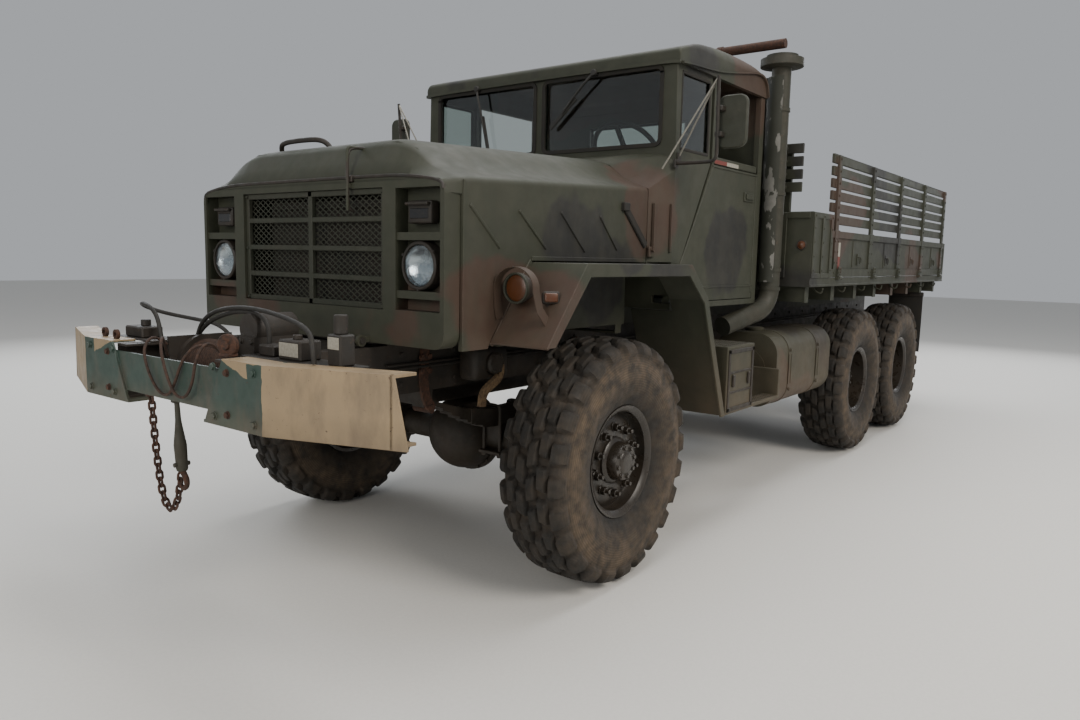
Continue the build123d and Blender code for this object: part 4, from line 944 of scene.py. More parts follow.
sheet_x = mesh_low.x - axle_x + 0.008
mesh_piece = piece("expanded_mesh", expanded_sheet(sheet_x, mesh_low.y, mesh_high.y, mesh_low.z,
    mesh_high.z), mesh_paint, "hood")
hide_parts("grille_mesh")
bar_x0, bar_x1 = mesh_high.x - axle_x - 0.02, mesh_high.x - axle_x + 0.004
frame_width = 0.026
middle_z = np.linspace(mesh_low.z, mesh_high.z, 5)[1:4]
grille_bars = slabs([(bar_x0, bar_x1, mesh_low.y, mesh_low.y + frame_width, mesh_low.z, mesh_high.z),
    (bar_x0, bar_x1, mesh_high.y - frame_width, mesh_high.y, mesh_low.z, mesh_high.z),
    (bar_x0, bar_x1, mesh_low.y, mesh_high.y, mesh_low.z, mesh_low.z + frame_width),
    (bar_x0, bar_x1, mesh_low.y, mesh_high.y, mesh_high.z - frame_width, mesh_high.z),
    (bar_x0, bar_x1, -0.015, 0.015, mesh_low.z, mesh_high.z)]
    + [(bar_x0 + 0.002, bar_x1 - 0.002, mesh_low.y, mesh_high.y, z - 0.012, z + 0.012) for z in middle_z],
    0.003)
corner_bolts = [(bar_x1, side * 0.507, z) for side in (-1, 1) for z in (1.385, 1.63, 1.883)]
piece("grille_bars", join(grille_bars, bolts(corner_bolts, (1, 0, 0), 0.013, 0.007)), mesh_paint,
    "hood")
print("mesh faces:", len(mesh_piece.data.polygons))

# %% [markdown]
# ## Lamps on the front
# Sealed-beam headlamps: a steel bucket, a retaining ring, a silvered bowl and a convex lens pressed with
# upright ribs. Above each sits a small blackout marker. The turn lamps stand on the fenders' front slopes
# behind a bent strip that guards them from branches.

# %% Headlamps and markers
lamp_low, lamp_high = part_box("headlamps")
lamp_z = (lamp_low.z + lamp_high.z) / 2
lamp_y = 0.728
lamp_face = lamp_high.x - axle_x - 0.01


def lens_shape(centre, radius, bulge, thick, ribs):
    """A dished disc turned about X: front x = face + bulge * (1 - (r/R)^2), with ribs across its width."""
    ring = np.linspace(1, 0, 12)
    angle = np.arange(48) * 2 * np.pi / 48
    share, turn = np.meshgrid(ring, angle, indexing="ij")
    y, z = radius * share * np.cos(turn), radius * share * np.sin(turn)
    front = bulge * (1 - share ** 2) + 0.0006 * np.cos(y * 2 * np.pi / ribs) * (share < 0.97)
    rows = []
    for depth in (front, bulge * (1 - share ** 2) - thick):
        rows.append(np.stack([centre[0] + depth, centre[1] + y, centre[2] + z], -1))
    points = np.concatenate([rows[0][::-1], rows[1]])
    return points.reshape(-1, 3), [grid_faces(24, 48, wrap_columns=True)]


tab_turns = (0.6, 2.7, 4.7)
buckets, lenses, bowls, markers, marker_lens = [], [], [], [], []
for side in (-1, 1):
    centre = (lamp_face, side * lamp_y, lamp_z)
    buckets.append(turned([(-0.05, 0.0), (-0.05, 0.104), (-0.006, 0.105), (0.004, 0.103), (0.009, 0.097),
        (0.008, 0.09), (0.0, 0.088), (-0.044, 0.086), (-0.044, 0.0)], centre, (1, 0, 0), 48))
    tabs = np.array([(lamp_face + 0.002, side * lamp_y + 0.103 * np.cos(t), lamp_z + 0.103 * np.sin(t))
        for t in tab_turns])
    buckets.append(bolts(tabs, (1, 0, 0), 0.01, 0.008))
    lenses.append(lens_shape((lamp_face, side * lamp_y, lamp_z), 0.0865, 0.014, 0.003, 0.011))
    bowls.append(turned([(-0.002, 0.085), (-0.018, 0.08), (-0.034, 0.058), (-0.04, 0.02), (-0.04, 0.0),
        (-0.042, 0.0), (-0.042, 0.06), (-0.02, 0.083), (-0.003, 0.0865)], centre, (1, 0, 0), 40))
    marker_at = np.array([(0.945, side * 0.725, 1.79)])
    markers.append(soft_boxes(marker_at, (0.026, 0.07, 0.048), 0.01, 3))
    markers.append(soft_boxes(marker_at + (0.03, 0, 0.034), (0.018, 0.066, 0.006), 0.003))
    marker_lens.append(soft_boxes(marker_at + (0.0245, 0, -0.006), (0.004, 0.055, 0.022), 0.003))
bucket_piece = piece("headlamp_buckets", join(*buckets), chassis_paint, "hood")
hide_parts("headlamps")
piece("headlamp_lenses", join(*lenses), lamp_glass, "hood")
piece("headlamp_bowls", join(*bowls), chrome, "hood")
piece("blackout_markers", join(*markers), chassis_paint, "hood")
piece("blackout_lenses", join(*marker_lens), dark_glass, "hood")

turn_x, turn_y, turn_z = 0.648, 0.985, 1.478
turn_shapes, turn_lens, turn_rings, guards = [], [], [], []
for side in (-1, 1):
    centre = (turn_x, side * turn_y, turn_z)
    turn_shapes.append(turned([(-0.105, 0.0), (-0.1, 0.03), (-0.07, 0.052), (-0.03, 0.066), (-0.002, 0.068),
        (0.0, 0.064), (-0.01, 0.06), (-0.02, 0.0)], centre, (1, 0, 0), 40))
    turn_lens.append(turned([(-0.019, 0.0), (-0.019, 0.058), (-0.01, 0.059), (-0.005, 0.05), (-0.002, 0.025),
        (-0.001, 0.0)], centre, (1, 0, 0), 36))
    turn_rings.append(turned([(-0.012, 0.058), (0.002, 0.059), (0.005, 0.063), (0.003, 0.068),
        (-0.012, 0.068)], centre, (1, 0, 0), 40, True))
    angle = np.radians(np.linspace(-4, 184, 30))
    middle = np.array([centre[0] + 0.026, centre[1] + side * 0.026, centre[2]])
    loop = middle + np.stack([0 * angle, side * 0.108 * np.cos(angle), 0.092 * np.sin(angle)], -1)
    outer_leg = middle + np.array([(-0.06, side * 0.14, -0.158), (-0.016, side * 0.118, -0.09)])
    inner_leg = middle + np.array([(-0.004, side * -0.106, -0.08), (-0.016, side * -0.104, -0.135)])
    line = np.concatenate([outer_leg, loop, inner_leg])
    guards.append(ribbon(line, 0.044, 0.004, line - middle))
    guards.append(rods([(centre[0] - 0.1, centre[1], centre[2])],
        [(centre[0] - 0.17, centre[1], centre[2] - 0.03)], 0.014))
    side_at = np.array([(0.572, side * 1.12, 1.44)])
    toward = directions((0.7, side * 0.68, 0.12))
    turn_shapes.append(soft_boxes(side_at, (0.022, 0.038, 0.027), 0.01, 3, toward))
    turn_lens.append(soft_boxes(side_at + (0.014, side * 0.0136, 0.002), (0.01, 0.03, 0.02), 0.008, 3,
        toward))
    turn_shapes.append(plate([(-0.03, 0.0), (0.03, 0.0), (0.004, -0.085), (-0.004, -0.085)], side_at[0]
        + (-0.008, 0.0, -0.014), (-0.68 * side, 0.7, 0), (0, 0, 1), 0.004))
turn_piece = piece("turn_lamp_housings", join(*turn_shapes), chassis_paint)
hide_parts("marker_lamps")
piece("turn_lamp_lenses", join(*turn_lens), amber_lens)
piece("turn_lamp_rings", join(*turn_rings), mesh_paint)
piece("turn_lamp_guards", join(*guards), camo_paint)
print("front lamps at y", lamp_y, "and", turn_y)

# %% [markdown]
# ## Hood fittings
# A rolled lip along the front, a grab handle, an upright latch rod ahead of the grille, and on each side four
# slanting stamped ribs and a rubber hold-down strap that hooks on the cowl.

# %% Hood lip, handle, rod and ribs
lip_line = np.array([(0.88, 1.88), (0.872, 1.912), (0.74, 1.934), (0.63, 1.942), (0.52, 1.946)])
lip_all = np.concatenate([lip_line * (1, 1), (lip_line * (-1, 1))[::-1]])
lip_path = smooth_line(np.column_stack([np.full(len(lip_all), 0.986), lip_all]), 60)
handle_path = smooth_line([(0.79, -0.06, 2.085), (0.8, -0.075, 2.135), (0.83, -0.11, 2.16),
    (0.84, -0.25, 2.162), (0.84, -0.4, 2.158), (0.815, -0.44, 2.13), (0.8, -0.45, 2.08)], 48)
rod_path = smooth_line([(0.975, 0.31, 1.8), (1.004, 0.31, 1.81), (1.006, 0.31, 1.94), (1.006, 0.31, 2.06),
    (0.965, 0.31, 2.078), (0.905, 0.31, 2.08)], 40)
latch_pads = slabs([(0.955, 1.0, 0.29, 0.33, 1.925, 1.955), (0.77, 0.815, -0.085, -0.04, 2.07, 2.092),
    (0.78, 0.825, -0.475, -0.43, 2.065, 2.09)], 0.003)
piece("hood_fittings", join(pipe(lip_path, 0.0075, 8), pipe(handle_path, 0.0125, 12),
    pipe(rod_path, 0.0075, 10), latch_pads), chassis_paint, "hood")
rib_ends = np.array([
    # upper station, height, lower station, height
    (0.85, 1.826, 0.654, 1.649),
    (0.528, 1.82, 0.322, 1.652),
    (0.21, 1.829, 0.0, 1.644),
    (-0.127, 1.828, -0.299, 1.659),
])
rib_top = np.column_stack([rib_ends[:, 0], np.full(4, 0.901), rib_ends[:, 1]])
rib_foot = np.column_stack([rib_ends[:, 2], np.full(4, 0.901), rib_ends[:, 3]])
ribs = strips(rib_top, rib_foot, 0.016, 0.01, 0.004, (0, 1, 0))
hem = strips([(0.43, 0.901, 1.606), (0.705, 0.901, 1.225)], [(-0.592, 0.901, 1.606), (0.436, 0.901, 1.598)],
    0.022, 0.008, 0.003, (0, 1, 0))
seam = strips([(0.886, 0.9, 1.235)], [(0.886, 0.9, 1.925)], 0.012, 0.006, 0.002, (0, 1, 0))
piece("hood_ribs", mirrored(join(ribs, hem, seam)), camo_paint, "hood")
strap_top = np.array([(-0.365, 0.905, 1.882)])
strap_foot = np.array([(-0.585, 0.905, 1.688)])
strap = strips(strap_top, strap_foot, 0.042, 0.016, 0.005, (0, 1, 0))
catch = soft_boxes(strap_top + (0.006, 0.004, 0.006), (0.03, 0.012, 0.022), 0.004)
piece("hood_straps", mirrored(join(strap, catch)), flap_rubber, "hood")
hook_at = np.array([(-0.622, 0.917, 1.655)])
hook = join(soft_boxes(hook_at, (0.024, 0.008, 0.03), 0.004),
    rods(hook_at + (0.006, 0.004, 0.01), hook_at + (0.006, 0.026, 0.01), 0.008))
panel_edge = slabs([(-0.64, -0.628, 0.915, 0.933, 1.655, 1.925),
    (-0.755, -0.743, 0.962, 0.977, 1.655, 1.925)], 0.002)
piece("cowl_catches", mirrored(join(hook, panel_edge)), camo_paint)
print("hood rib length", round(float(np.linalg.norm(rib_top[0] - rib_foot[0])), 3), "m")

# %% [markdown]
# ## Winch, tow chain and the clutter on the bumper
# Wire rope lies on the drum in close turns, so the drum's radius ripples once for each turn. The chain is
# made of bent-wire links, each a quarter turn on from the last. It ends in a clevis hook below a cast socket.

# %% Winch rope and fittings
winch_x, winch_z = 1.4, 1.11
rope_pitch = 0.0155
rope_half = 0.192


def wound_drum(layer_radius):
    """Radius = layer + half a rope * |sin(pi * y / pitch)|, turned about Y, closed at both ends."""
    turns = int(2 * rope_half / rope_pitch)
    y = np.linspace(-rope_half, rope_half, turns * 6 + 1)
    radius = layer_radius + rope_pitch / 2 * np.abs(np.sin(np.pi * y / rope_pitch))
    profile = np.column_stack([np.concatenate([[y[0]], y, [y[-1]]]),
        np.concatenate([[0.05], radius, [0.05]])])
    return turned(profile, (winch_x, 0, winch_z), (0, 1, 0), 40)


piece("winch_rope", wound_drum(0.1), wire_rope_steel)
flange_turn = np.arange(8) * np.pi / 4
flange_bolts = [(winch_x + 0.104 * np.cos(t), 0.2252, winch_z + 0.104 * np.sin(t)) for t in flange_turn]
case_bolts = [(x, y, 1.27) for x in (1.305, 1.4, 1.495) for y in (0.252, 0.331)]
case_front = [(1.51, y, z) for y in (0.255, 0.328) for z in (1.02, 1.1, 1.18, 1.25)]
motor_bands = [hoop(0.012, 0.078, 0.086, (winch_x, y, winch_z), (0, 1, 0), 32) for y in (-0.33, -0.3, -0.262)]
motor = turned([(0.0, 0.0), (0.0, 0.04), (0.008, 0.052), (0.085, 0.055), (0.092, 0.045), (0.092, 0.0)],
    (winch_x, -0.344, winch_z), (0, -1, 0), 28)
side_bolts = [(x, -0.2395, z) for x in (1.285, 1.52) for z in (1.01, 1.21)]
piece("winch_fittings", join(bolts(flange_bolts, (0, 1, 0), 0.018, 0.009), bolts(case_bolts, (0, 0, 1)),
    bolts(case_front, (1, 0, 0)), *motor_bands, motor, bolts(side_bolts, (0, -1, 0))), chassis_paint)
tray = slabs([(1.425, 1.575, 0.35, 0.94, 1.1985, 1.206), (1.425, 1.575, -0.7, -0.35, 1.1985, 1.206)], 0.002)
valve_blocks = slabs([(1.44, 1.54, 0.545, 0.685, 1.206, 1.282), (1.45, 1.53, 0.4, 0.5, 1.206, 1.25),
    (1.46, 1.53, 0.828, 0.905, 1.206, 1.322), (1.45, 1.55, -0.64, -0.48, 1.206, 1.256)], 0.006)
posts = rods([(1.495, 0.866, 1.322), (1.495, 0.61, 1.282), (1.49, -0.56, 1.256)],
    [(1.495, 0.866, 1.392), (1.495, 0.61, 1.3), (1.49, -0.56, 1.285)], [0.026, 0.018, 0.022])
piece("valve_tray", join(tray, valve_blocks, posts), chassis_paint)
plates = slabs([(1.5405, 1.5425, 0.556, 0.674, 1.22, 1.272), (1.5305, 1.5325, 0.836, 0.898, 1.268, 1.312)],
    0.0008)
piece("blank_plates", plates, white_tape)
eye_centre = (1.655, 0.395, 1.254)
eye = turned([(-0.013, 0.016), (-0.013, 0.04), (-0.009, 0.044), (0.009, 0.044), (0.013, 0.04),
    (0.013, 0.016)], eye_centre, (1, 0.35, 0), 32, True)
eye_foot = slabs([(1.63, 1.68, 0.365, 0.425, 1.2095, 1.224)], 0.004)
pin = rods([(1.632, 0.387, 1.254)], [(1.678, 0.403, 1.254)], 0.017)
small_eyes = [hoop(0.007, 0.01, 0.022, (x, y, 1.23), (1, 0, 0), 24) for x,
    y in ((1.655, -0.5), (1.64, -0.64))]
slot_bolts = [(1.71, side * y, z) for side in (-1, 1) for y, z in ((0.47, 1.0), (0.47, 1.16))]
piece("bumper_eyes", join(eye, eye_foot, pin, *small_eyes, bolts(slot_bolts, (1, 0, 0), 0.022, 0.012)),
    rusty_steel)

# %% Tow chain
link_wire = 0.0055
link_length = 0.052
link_width = 0.037
chain_pitch = link_length - 2 * 2 * link_wire
chain_x = 1.664
chain_corners = [(-0.193, 0.99), (-0.17, 0.76), (-0.13, 0.56), (-0.06, 0.5), (0.0, 0.56), (0.035, 0.69)]


def chain_shape(corners, x):
    """Links at equal steps along a smooth line; odd links are turned a quarter about the line."""
    fine = smooth_line([(x, y, z) for y, z in corners], 600)
    length = np.concatenate([[0], np.cumsum(np.linalg.norm(np.diff(fine, axis=0), axis=1))])
    count = int(length[-1] / chain_pitch)
    at = (np.arange(count) + 0.5) * length[-1] / count
    centre = np.stack([np.interp(at, length, fine[:, k]) for k in range(3)], -1)
    slope = np.stack([np.interp(at, length, np.gradient(fine[:, k])) for k in range(3)], -1)
    turns = directions(slope, (1, 0, 0))
    turns[1::2] = turns[1::2][:, :, [0, 2, 1]] * (1, 1, -1)
    u = np.arange(20) * 2 * np.pi / 20
    straight = (link_length - link_width) / 2
    loop = np.stack([np.sign(np.cos(u)) * straight + (link_width / 2 - link_wire) * np.cos(u),
        (link_width / 2 - link_wire) * np.sin(u), 0 * u], -1)
    outward = np.stack([np.cos(u), np.sin(u), 0 * u], -1)
    v = np.arange(8) * 2 * np.pi / 8
    local = (loop[:, None] + outward[:, None] * link_wire * np.cos(v)[None, :, None] + np.array([0, 0, 1.0])
        * link_wire * np.sin(v)[None, :, None])
    points = np.einsum("nij,rsj->nrsi", turns, local) + centre[:, None, None]
    return points.reshape(-1, 3), [copies(grid_faces(20, 8, True, True), 160, count)]


chain = chain_shape(chain_corners, chain_x)
hook_path = smooth_line([(chain_x, 0.04, 0.735), (chain_x, 0.042, 0.7), (chain_x, 0.075, 0.672),
    (chain_x, 0.078, 0.64), (chain_x, 0.048, 0.622), (chain_x, 0.02, 0.64), (chain_x, 0.012, 0.668)], 40)
hook_radius = 0.013 * (1 - 0.55 * np.linspace(0, 1, 40) ** 2)
lugs = slabs([(chain_x - 0.012, 1.686, -0.205, -0.181, 0.985, 1.015)], 0.004)
chain_piece = piece("tow_chain_links", join(chain, pipe(hook_path, hook_radius, 10, (1, 0, 0)), lugs),
    rusty_steel)
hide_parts("tow_chain")
socket_profile = [(0.0, 0.0), (0.0, 0.02), (0.01, 0.024), (0.11, 0.026), (0.18, 0.016), (0.215, 0.012),
    (0.3, 0.01), (0.318, 0.01), (0.318, 0.0)]
socket = turned(socket_profile, (chain_x, 0.043, 0.7), (0, -0.09, 1), 20)
wedge_pin = rods([(chain_x - 0.034, 0.04, 0.728)], [(chain_x + 0.034, 0.04, 0.728)], 0.01)
hanger = slabs([(chain_x - 0.012, 1.686, 0.006, 0.032, 0.985, 1.015)], 0.004)
piece("rope_socket", join(socket, wedge_pin, hanger), stack_paint)
print("chain links:", len(chain[0]) // 160)

# %% [markdown]
# ## Bumper paint
# The bumper was painted cream at its swept ends and along the top flange, over blue-green. Beside the joint
# a wedge of the same cream is painted highlight, standing for a sunlit face seen through the gap there. Coats
# and highlight come from one material that reads position: width and height on the piece decide the coat,
# with a little noise so the brush line isn't ruled.

# %% Two-coat bumper finish and painted highlight
sweep_line_y = 0.69
flange_top_z = 1.2085
highlight_wedge_slope = 0.36


def coats_and_highlight(name, main_code, end_code, rust_code):
    """Cream where |y| > the sweep line and on the flange tops, blue-green elsewhere. A pale wedge beside the
    joint is painted highlight.
    """
    made, tree, shader, coords = blank(name)
    parts = add(tree, "SeparateXYZ", {"Vector": coords}).node.outputs
    wobble = add(tree, "TexNoise", {"Vector": coords, "Scale": 18.0, "Detail": 4.0, "Roughness": 0.55})
    wobble = add(tree, "Math", {0: wobble, 1: 0.5}, operation="SUBTRACT")
    wobble = add(tree, "Math", {0: wobble, 1: 0.02}, operation="MULTIPLY")
    wide = add(tree, "Math", {0: parts["Y"]}, operation="ABSOLUTE")
    wide = add(tree, "Math", {0: wide, 1: wobble}, operation="ADD")
    height = add(tree, "Math", {0: parts["Z"], 1: wobble}, operation="ADD")
    on_end = add(tree, "Math", {0: wide, 1: sweep_line_y}, operation="GREATER_THAN")
    on_top = add(tree, "Math", {0: height, 1: flange_top_z}, operation="GREATER_THAN")
    # Painted highlight: beside the joint, above a line that falls outwards, a wedge of the cream stands for a
    # sunlit face seen through the gap there.
    slope = add(tree, "Math", {0: wide, 1: highlight_wedge_slope, 2: -highlight_wedge_slope * 0.42}, operation="MULTIPLY_ADD")
    edge = add(tree, "Math", {0: 1.212, 1: slope}, operation="SUBTRACT")
    above = add(tree, "Math", {0: height, 1: edge}, operation="GREATER_THAN")
    short = add(tree, "Math", {0: wide, 1: 0.6}, operation="LESS_THAN")
    highlight_wedge = add(tree, "Math", {0: above, 1: short}, operation="MULTIPLY")
    # The pale share is the cream coat on the ends and flange tops, plus the painted highlight wedge.
    pale_share = add(tree, "Math", {0: on_end, 1: on_top}, operation="MAXIMUM")
    pale_share = add(tree, "Math", {0: pale_share, 1: highlight_wedge}, operation="MAXIMUM")
    faded = patches(tree, coords, 5.0, 6.0, [(0.35, 0.0), (0.75, 0.45)])
    cool = add(tree, "Mix", {0: faded, 6: main_code, 7: "3E5048"}, data_type="RGBA")
    warm = add(tree, "Mix", {0: faded, 6: end_code, 7: "716350"}, data_type="RGBA")
    colour = add(tree, "Mix", {0: pale_share, 6: cool, 7: warm}, data_type="RGBA")
    grimy = [(0.47, 0.0), (0.74, 0.6)]
    colour = weathered(tree, coords, colour, "51453A", 9.0, 8.0, grimy, 0.65, (1.0, 1.0, 0.35))
    chips = patches(tree, coords, 46.0, 8.0, [(0.635, 0.0), (0.665, 1.0)], 0.72)
    colour = add(tree, "Mix", {0: chips, 6: colour, 7: rust_code}, data_type="RGBA")
    wire(tree, shader, {"Base Color": dusted(tree, coords, colour, 0.93, 1.06, 12.0),
        "Roughness": patches(tree, coords, 15.0, 5.0, [(0.3, 0.42), (0.8, 0.72)]),
        "Normal": add(tree, "Bump", {"Height": chips, "Distance": 0.0006, "Strength": 0.5})})
    return made


bumper_coats_and_highlight = coats_and_highlight("bumper_cream_and_green", "24362E", "8F7B5D", "3F271B")
bumper_node = nodes["bumper"]
bumper_node.data.materials.clear()
bumper_node.data.materials.append(bumper_coats_and_highlight)
small_bolts = [(1.7105, y, z) for y in (-0.42, -0.64, 0.38, 0.64) for z in (0.985, 1.175)]
piece("bumper_bolts", bolts(small_bolts, (1, 0, 0), 0.024, 0.012), bumper_coats_and_highlight)
ahead_out = np.array([-0.322, 0.947, 0.0])
end_origin = np.array([1.54, 1.19, 0.95]) - 0.01 * np.array([0.947, 0.322, 0.0])
wing = plate([(-0.012, 0.0), (0.056, 0.0), (0.002, 0.26), (-0.012, 0.26)], end_origin, ahead_out, (0, 0, 1),
    0.01)
piece("bumper_ends", mirrored(wing), bumper_coats_and_highlight)
print("bumper bolts:", len(small_bolts))

# %% [markdown]
# ## Hoses and slings
# Rubber hydraulic hoses arch from the valves beside the winch up and back under the grille, and a greasy wire
# rope lies over the bumper bar in loose loops. Each is one NURBS spline that starts and ends in a fitting.

# %% Free hoses and wire ropes


def free_line(name, points, diameter, finish):
    """A hose or rope as one open NURBS spline through metres in the row frame, fixed at both ends."""
    data = bpy.data.curves.new(name, "CURVE")
    data.dimensions = "3D"
    data.bevel_depth = diameter / 2
    data.bevel_resolution = 3
    data.resolution_u = 10
    data.use_fill_caps = True
    spline = data.splines.new("NURBS")
    spline.points.add(len(points) - 1)
    for point, (x, y, z) in zip(spline.points, points):
        point.co = (axle_x + x, y, z, 1.0)
    spline.order_u = 3
    spline.use_endpoint_u = True
    made = bpy.data.objects.new(name, data)
    bpy.context.scene.collection.objects.link(made)
    data.materials.append(finish)
    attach(made, "chassis")
    data.bevel_depth = 0.0
    bpy.context.view_layer.update()
    line = bpy.data.meshes.new_from_object(made.evaluated_get(bpy.context.evaluated_depsgraph_get()))
    place = np.empty(len(line.vertices) * 3)
    line.vertices.foreach_get("co", place)
    bpy.data.meshes.remove(line)
    data.bevel_depth = diameter / 2
    return made


hose_routes = (
    # name, diameter, points as (station, width, height)
    ("hose_arch_low", 0.019, [(1.49, 0.41, 1.2), (1.49, 0.43, 1.29), (1.48, 0.37, 1.358),
                              (1.46, 0.2, 1.368), (1.44, 0.03, 1.345), (1.415, -0.14, 1.3),
                              (1.405, -0.25, 1.24), (1.402, -0.29, 1.192)]),
    ("hose_arch_high", 0.019, [(1.58, 0.82, 1.214), (1.58, 0.815, 1.29), (1.56, 0.76, 1.338),
                               (1.52, 0.56, 1.368), (1.48, 0.3, 1.386), (1.45, 0.05, 1.372),
                               (1.43, -0.13, 1.33), (1.415, -0.235, 1.26), (1.41, -0.265, 1.192)]),
    ("hose_right_loop", 0.019, [(1.5, -0.4, 1.2), (1.5, -0.42, 1.29), (1.49, -0.5, 1.345),
                                (1.46, -0.66, 1.36), (1.4, -0.76, 1.335), (1.32, -0.72, 1.3),
                                (1.24, -0.58, 1.275), (1.18, -0.44, 1.255), (1.16, -0.395, 1.2)]),
)
for name, diameter, points in hose_routes:
    free_line(name, points, diameter, hose_rubber)
rope_diameter = 0.012
rope_routes = (
    # name, points of a wire-rope sling between the winch's side plates, hanging in front of the bar
    ("sling_left_loop", [(1.565, -0.232, 1.2), (1.61, -0.22, 1.235), (1.665, -0.19, 1.238),
                         (1.708, -0.16, 1.19), (1.713, -0.11, 1.1), (1.712, -0.04, 1.03),
                         (1.712, 0.04, 1.018), (1.713, 0.1, 1.08), (1.708, 0.15, 1.18),
                         (1.67, 0.185, 1.238), (1.61, 0.215, 1.236), (1.565, 0.23, 1.2)]),
    ("sling_right_loop", [(1.566, -0.23, 1.15), (1.62, -0.15, 1.215), (1.675, -0.06, 1.26),
                          (1.722, 0.01, 1.215), (1.727, 0.06, 1.11), (1.727, 0.12, 1.035),
                          (1.727, 0.2, 1.03), (1.725, 0.255, 1.1), (1.718, 0.27, 1.2),
                          (1.67, 0.262, 1.256), (1.612, 0.248, 1.232), (1.566, 0.238, 1.17)]),
)
for name, points in rope_routes:
    free_line(name, points, rope_diameter, wire_rope_steel)

# %% [markdown]
# ## Cab outside
# Rubber gaskets hold the panes, wipers hang from above the windshield, and a folded gutter runs round the
# roof. The doors have a lower hem, a paddle handle, hinge leaves and a strip of reflective tape.

# %% Window gaskets, wipers and gutters
front_x = -0.769
gasket_path = []
for side in (-1, 1):
    y0, y1, z0, z1 = 0.034, 0.868, 2.262, 2.69
    corner = 0.035
    angle = np.radians(np.linspace(0, 90, 7))
    corners = [((y1 - corner, z1 - corner), 0), ((y0 + corner, z1 - corner), 90),
        ((y0 + corner, z0 + corner), 180), ((y1 - corner, z0 + corner), 270)]
    loop = np.concatenate([np.column_stack([np.full(7, front_x + 0.001),
        side * (c[0] + corner * np.cos(angle + np.radians(t))), c[1] + corner
        * np.sin(angle + np.radians(t))]) for c, t in corners])
    gasket_path.append(np.concatenate([loop, loop[:2]]))
gaskets = [ribbon(path, 0.016, 0.022, path - path[:-2].mean(axis=0)) for path in gasket_path]
quarter = np.array([(-1.188, 2.242), (-0.838, 2.242), (-0.838, 2.664), (-1.188, 2.664), (-1.188, 2.242)])
for side in (-1, 1):
    gaskets.append(strips(np.column_stack([quarter[:-1, 0], np.full(4, side * 0.956), quarter[:-1, 1]]),
        np.column_stack([quarter[1:, 0], np.full(4, side * 0.956), quarter[1:, 1]]), 0.018, 0.012, 0.004,
        (0, 1, 0)))
rear_x = -1.988
rear = np.array([(-0.42, 2.32), (0.42, 2.32), (0.42, 2.6), (-0.42, 2.6), (-0.42, 2.32)])
gaskets.append(strips(np.column_stack([np.full(4, rear_x), rear[:-1]]),
    np.column_stack([np.full(4, rear_x), rear[1:]]), 0.022, 0.012, 0.004, (1, 0, 0)))
wiper_table = np.array([
    # pivot width, pivot height, blade middle width, blade middle height, blade tilt in degrees
    (0.426, 2.7, 0.192, 2.486, 41.0),
    (-0.5, 2.702, -0.434, 2.404, 102.7),
])
wipers = []
for pivot_y, pivot_z, blade_y, blade_z, tilt in wiper_table:
    arm = smooth_line([(front_x + 0.012, pivot_y, pivot_z), (front_x + 0.042, pivot_y, pivot_z),
        (front_x + 0.036, (pivot_y + blade_y) / 2, (pivot_z + blade_z) / 2 + 0.01),
        (front_x + 0.026, blade_y, blade_z)], 24)
    wipers.append(pipe(arm, 0.0075, 8))
    reach = 0.125 * np.array([np.cos(np.radians(tilt)), np.sin(np.radians(tilt))])
    start = (front_x + 0.018, blade_y - reach[0], blade_z - reach[1])
    end = (front_x + 0.018, blade_y + reach[0], blade_z + reach[1])
    wipers.append(strips([start], [end], 0.012, 0.026, 0.003, (0, 0, 1)))
    wipers.append(rods([(front_x + 0.0, pivot_y, pivot_z)], [(front_x + 0.048, pivot_y, pivot_z)], 0.018))
piece("window_gaskets", join(*gaskets), flap_rubber)
piece("wipers", join(*wipers), cab_black)
gutter_line = np.array([(-0.775, 2.7), (-0.9, 2.712), (-1.226, 2.731), (-1.5, 2.775), (-1.838, 2.838),
    (-1.95, 2.8), (-1.985, 2.705)])
gutter_path = smooth_line(np.column_stack([gutter_line[:, 0], np.full(7, 0.986), gutter_line[:, 1]]), 50)
visor_path = smooth_line([(-0.757, -0.984, 2.701), (-0.748, -0.9, 2.706), (-0.746, 0.0, 2.712),
    (-0.748, 0.9, 2.706), (-0.757, 0.984, 2.701)], 40)
piece("roof_gutters", join(mirrored(ribbon(gutter_path, 0.012, 0.024, (0, 1, 0))),
    ribbon(visor_path, 0.018, 0.016, (1, 0, 0))), camo_paint)
print("wiper and gasket pieces made")

# %% Door and cab side fittings
handle_box = soft_boxes(np.array([(-1.79, 0.9735, 2.035)]), (0.075, 0.006, 0.032), 0.004)
paddle = soft_boxes(np.array([(-1.785, 0.984, 2.035)]), (0.055, 0.007, 0.018), 0.005)
hem_line = np.array([(-0.8, 1.452), (-1.91, 1.452)])
front_slope = np.array([(-0.792, 1.44), (-1.246, 2.168)])
door_ribs = strips([(hem_line[0, 0], 0.971, 1.452), (front_slope[0, 0], 0.971, 1.452), (-1.905, 0.971, 1.4)],
    [(hem_line[1, 0], 0.971, 1.452), (front_slope[1, 0], 0.971, 2.178), (-1.905, 0.971, 2.178)], 0.016,
    0.007, 0.003, (0, 1, 0))
belt_strip = strips([(-1.24, 0.971, 2.184)], [(-1.91, 0.971, 2.184)], 0.014, 0.01, 0.003, (0, 1, 0))
hinge_leaves = soft_boxes(np.array([(-0.965, 0.974, z) for z in (1.475, 1.555)]), (0.06, 0.005, 0.014), 0.003)
leaf_bolts = bolts([(x, 0.979, z) for x in (-0.99, -0.94) for z in (1.475, 1.555)], (0, 1, 0), 0.013, 0.006)
sill_cap = slabs([(-1.905, -1.252, 0.944, 0.968, 2.198, 2.244)], 0.006)
red_half = strips([(-1.268, 0.9692, 2.214)], [(-1.44, 0.9692, 2.214)], 0.024, 0.002, 0.0005, (0, 1, 0))
white_half = strips([(-1.44, 0.9692, 2.214)], [(-1.612, 0.9692, 2.214)], 0.024, 0.002, 0.0005, (0, 1, 0))
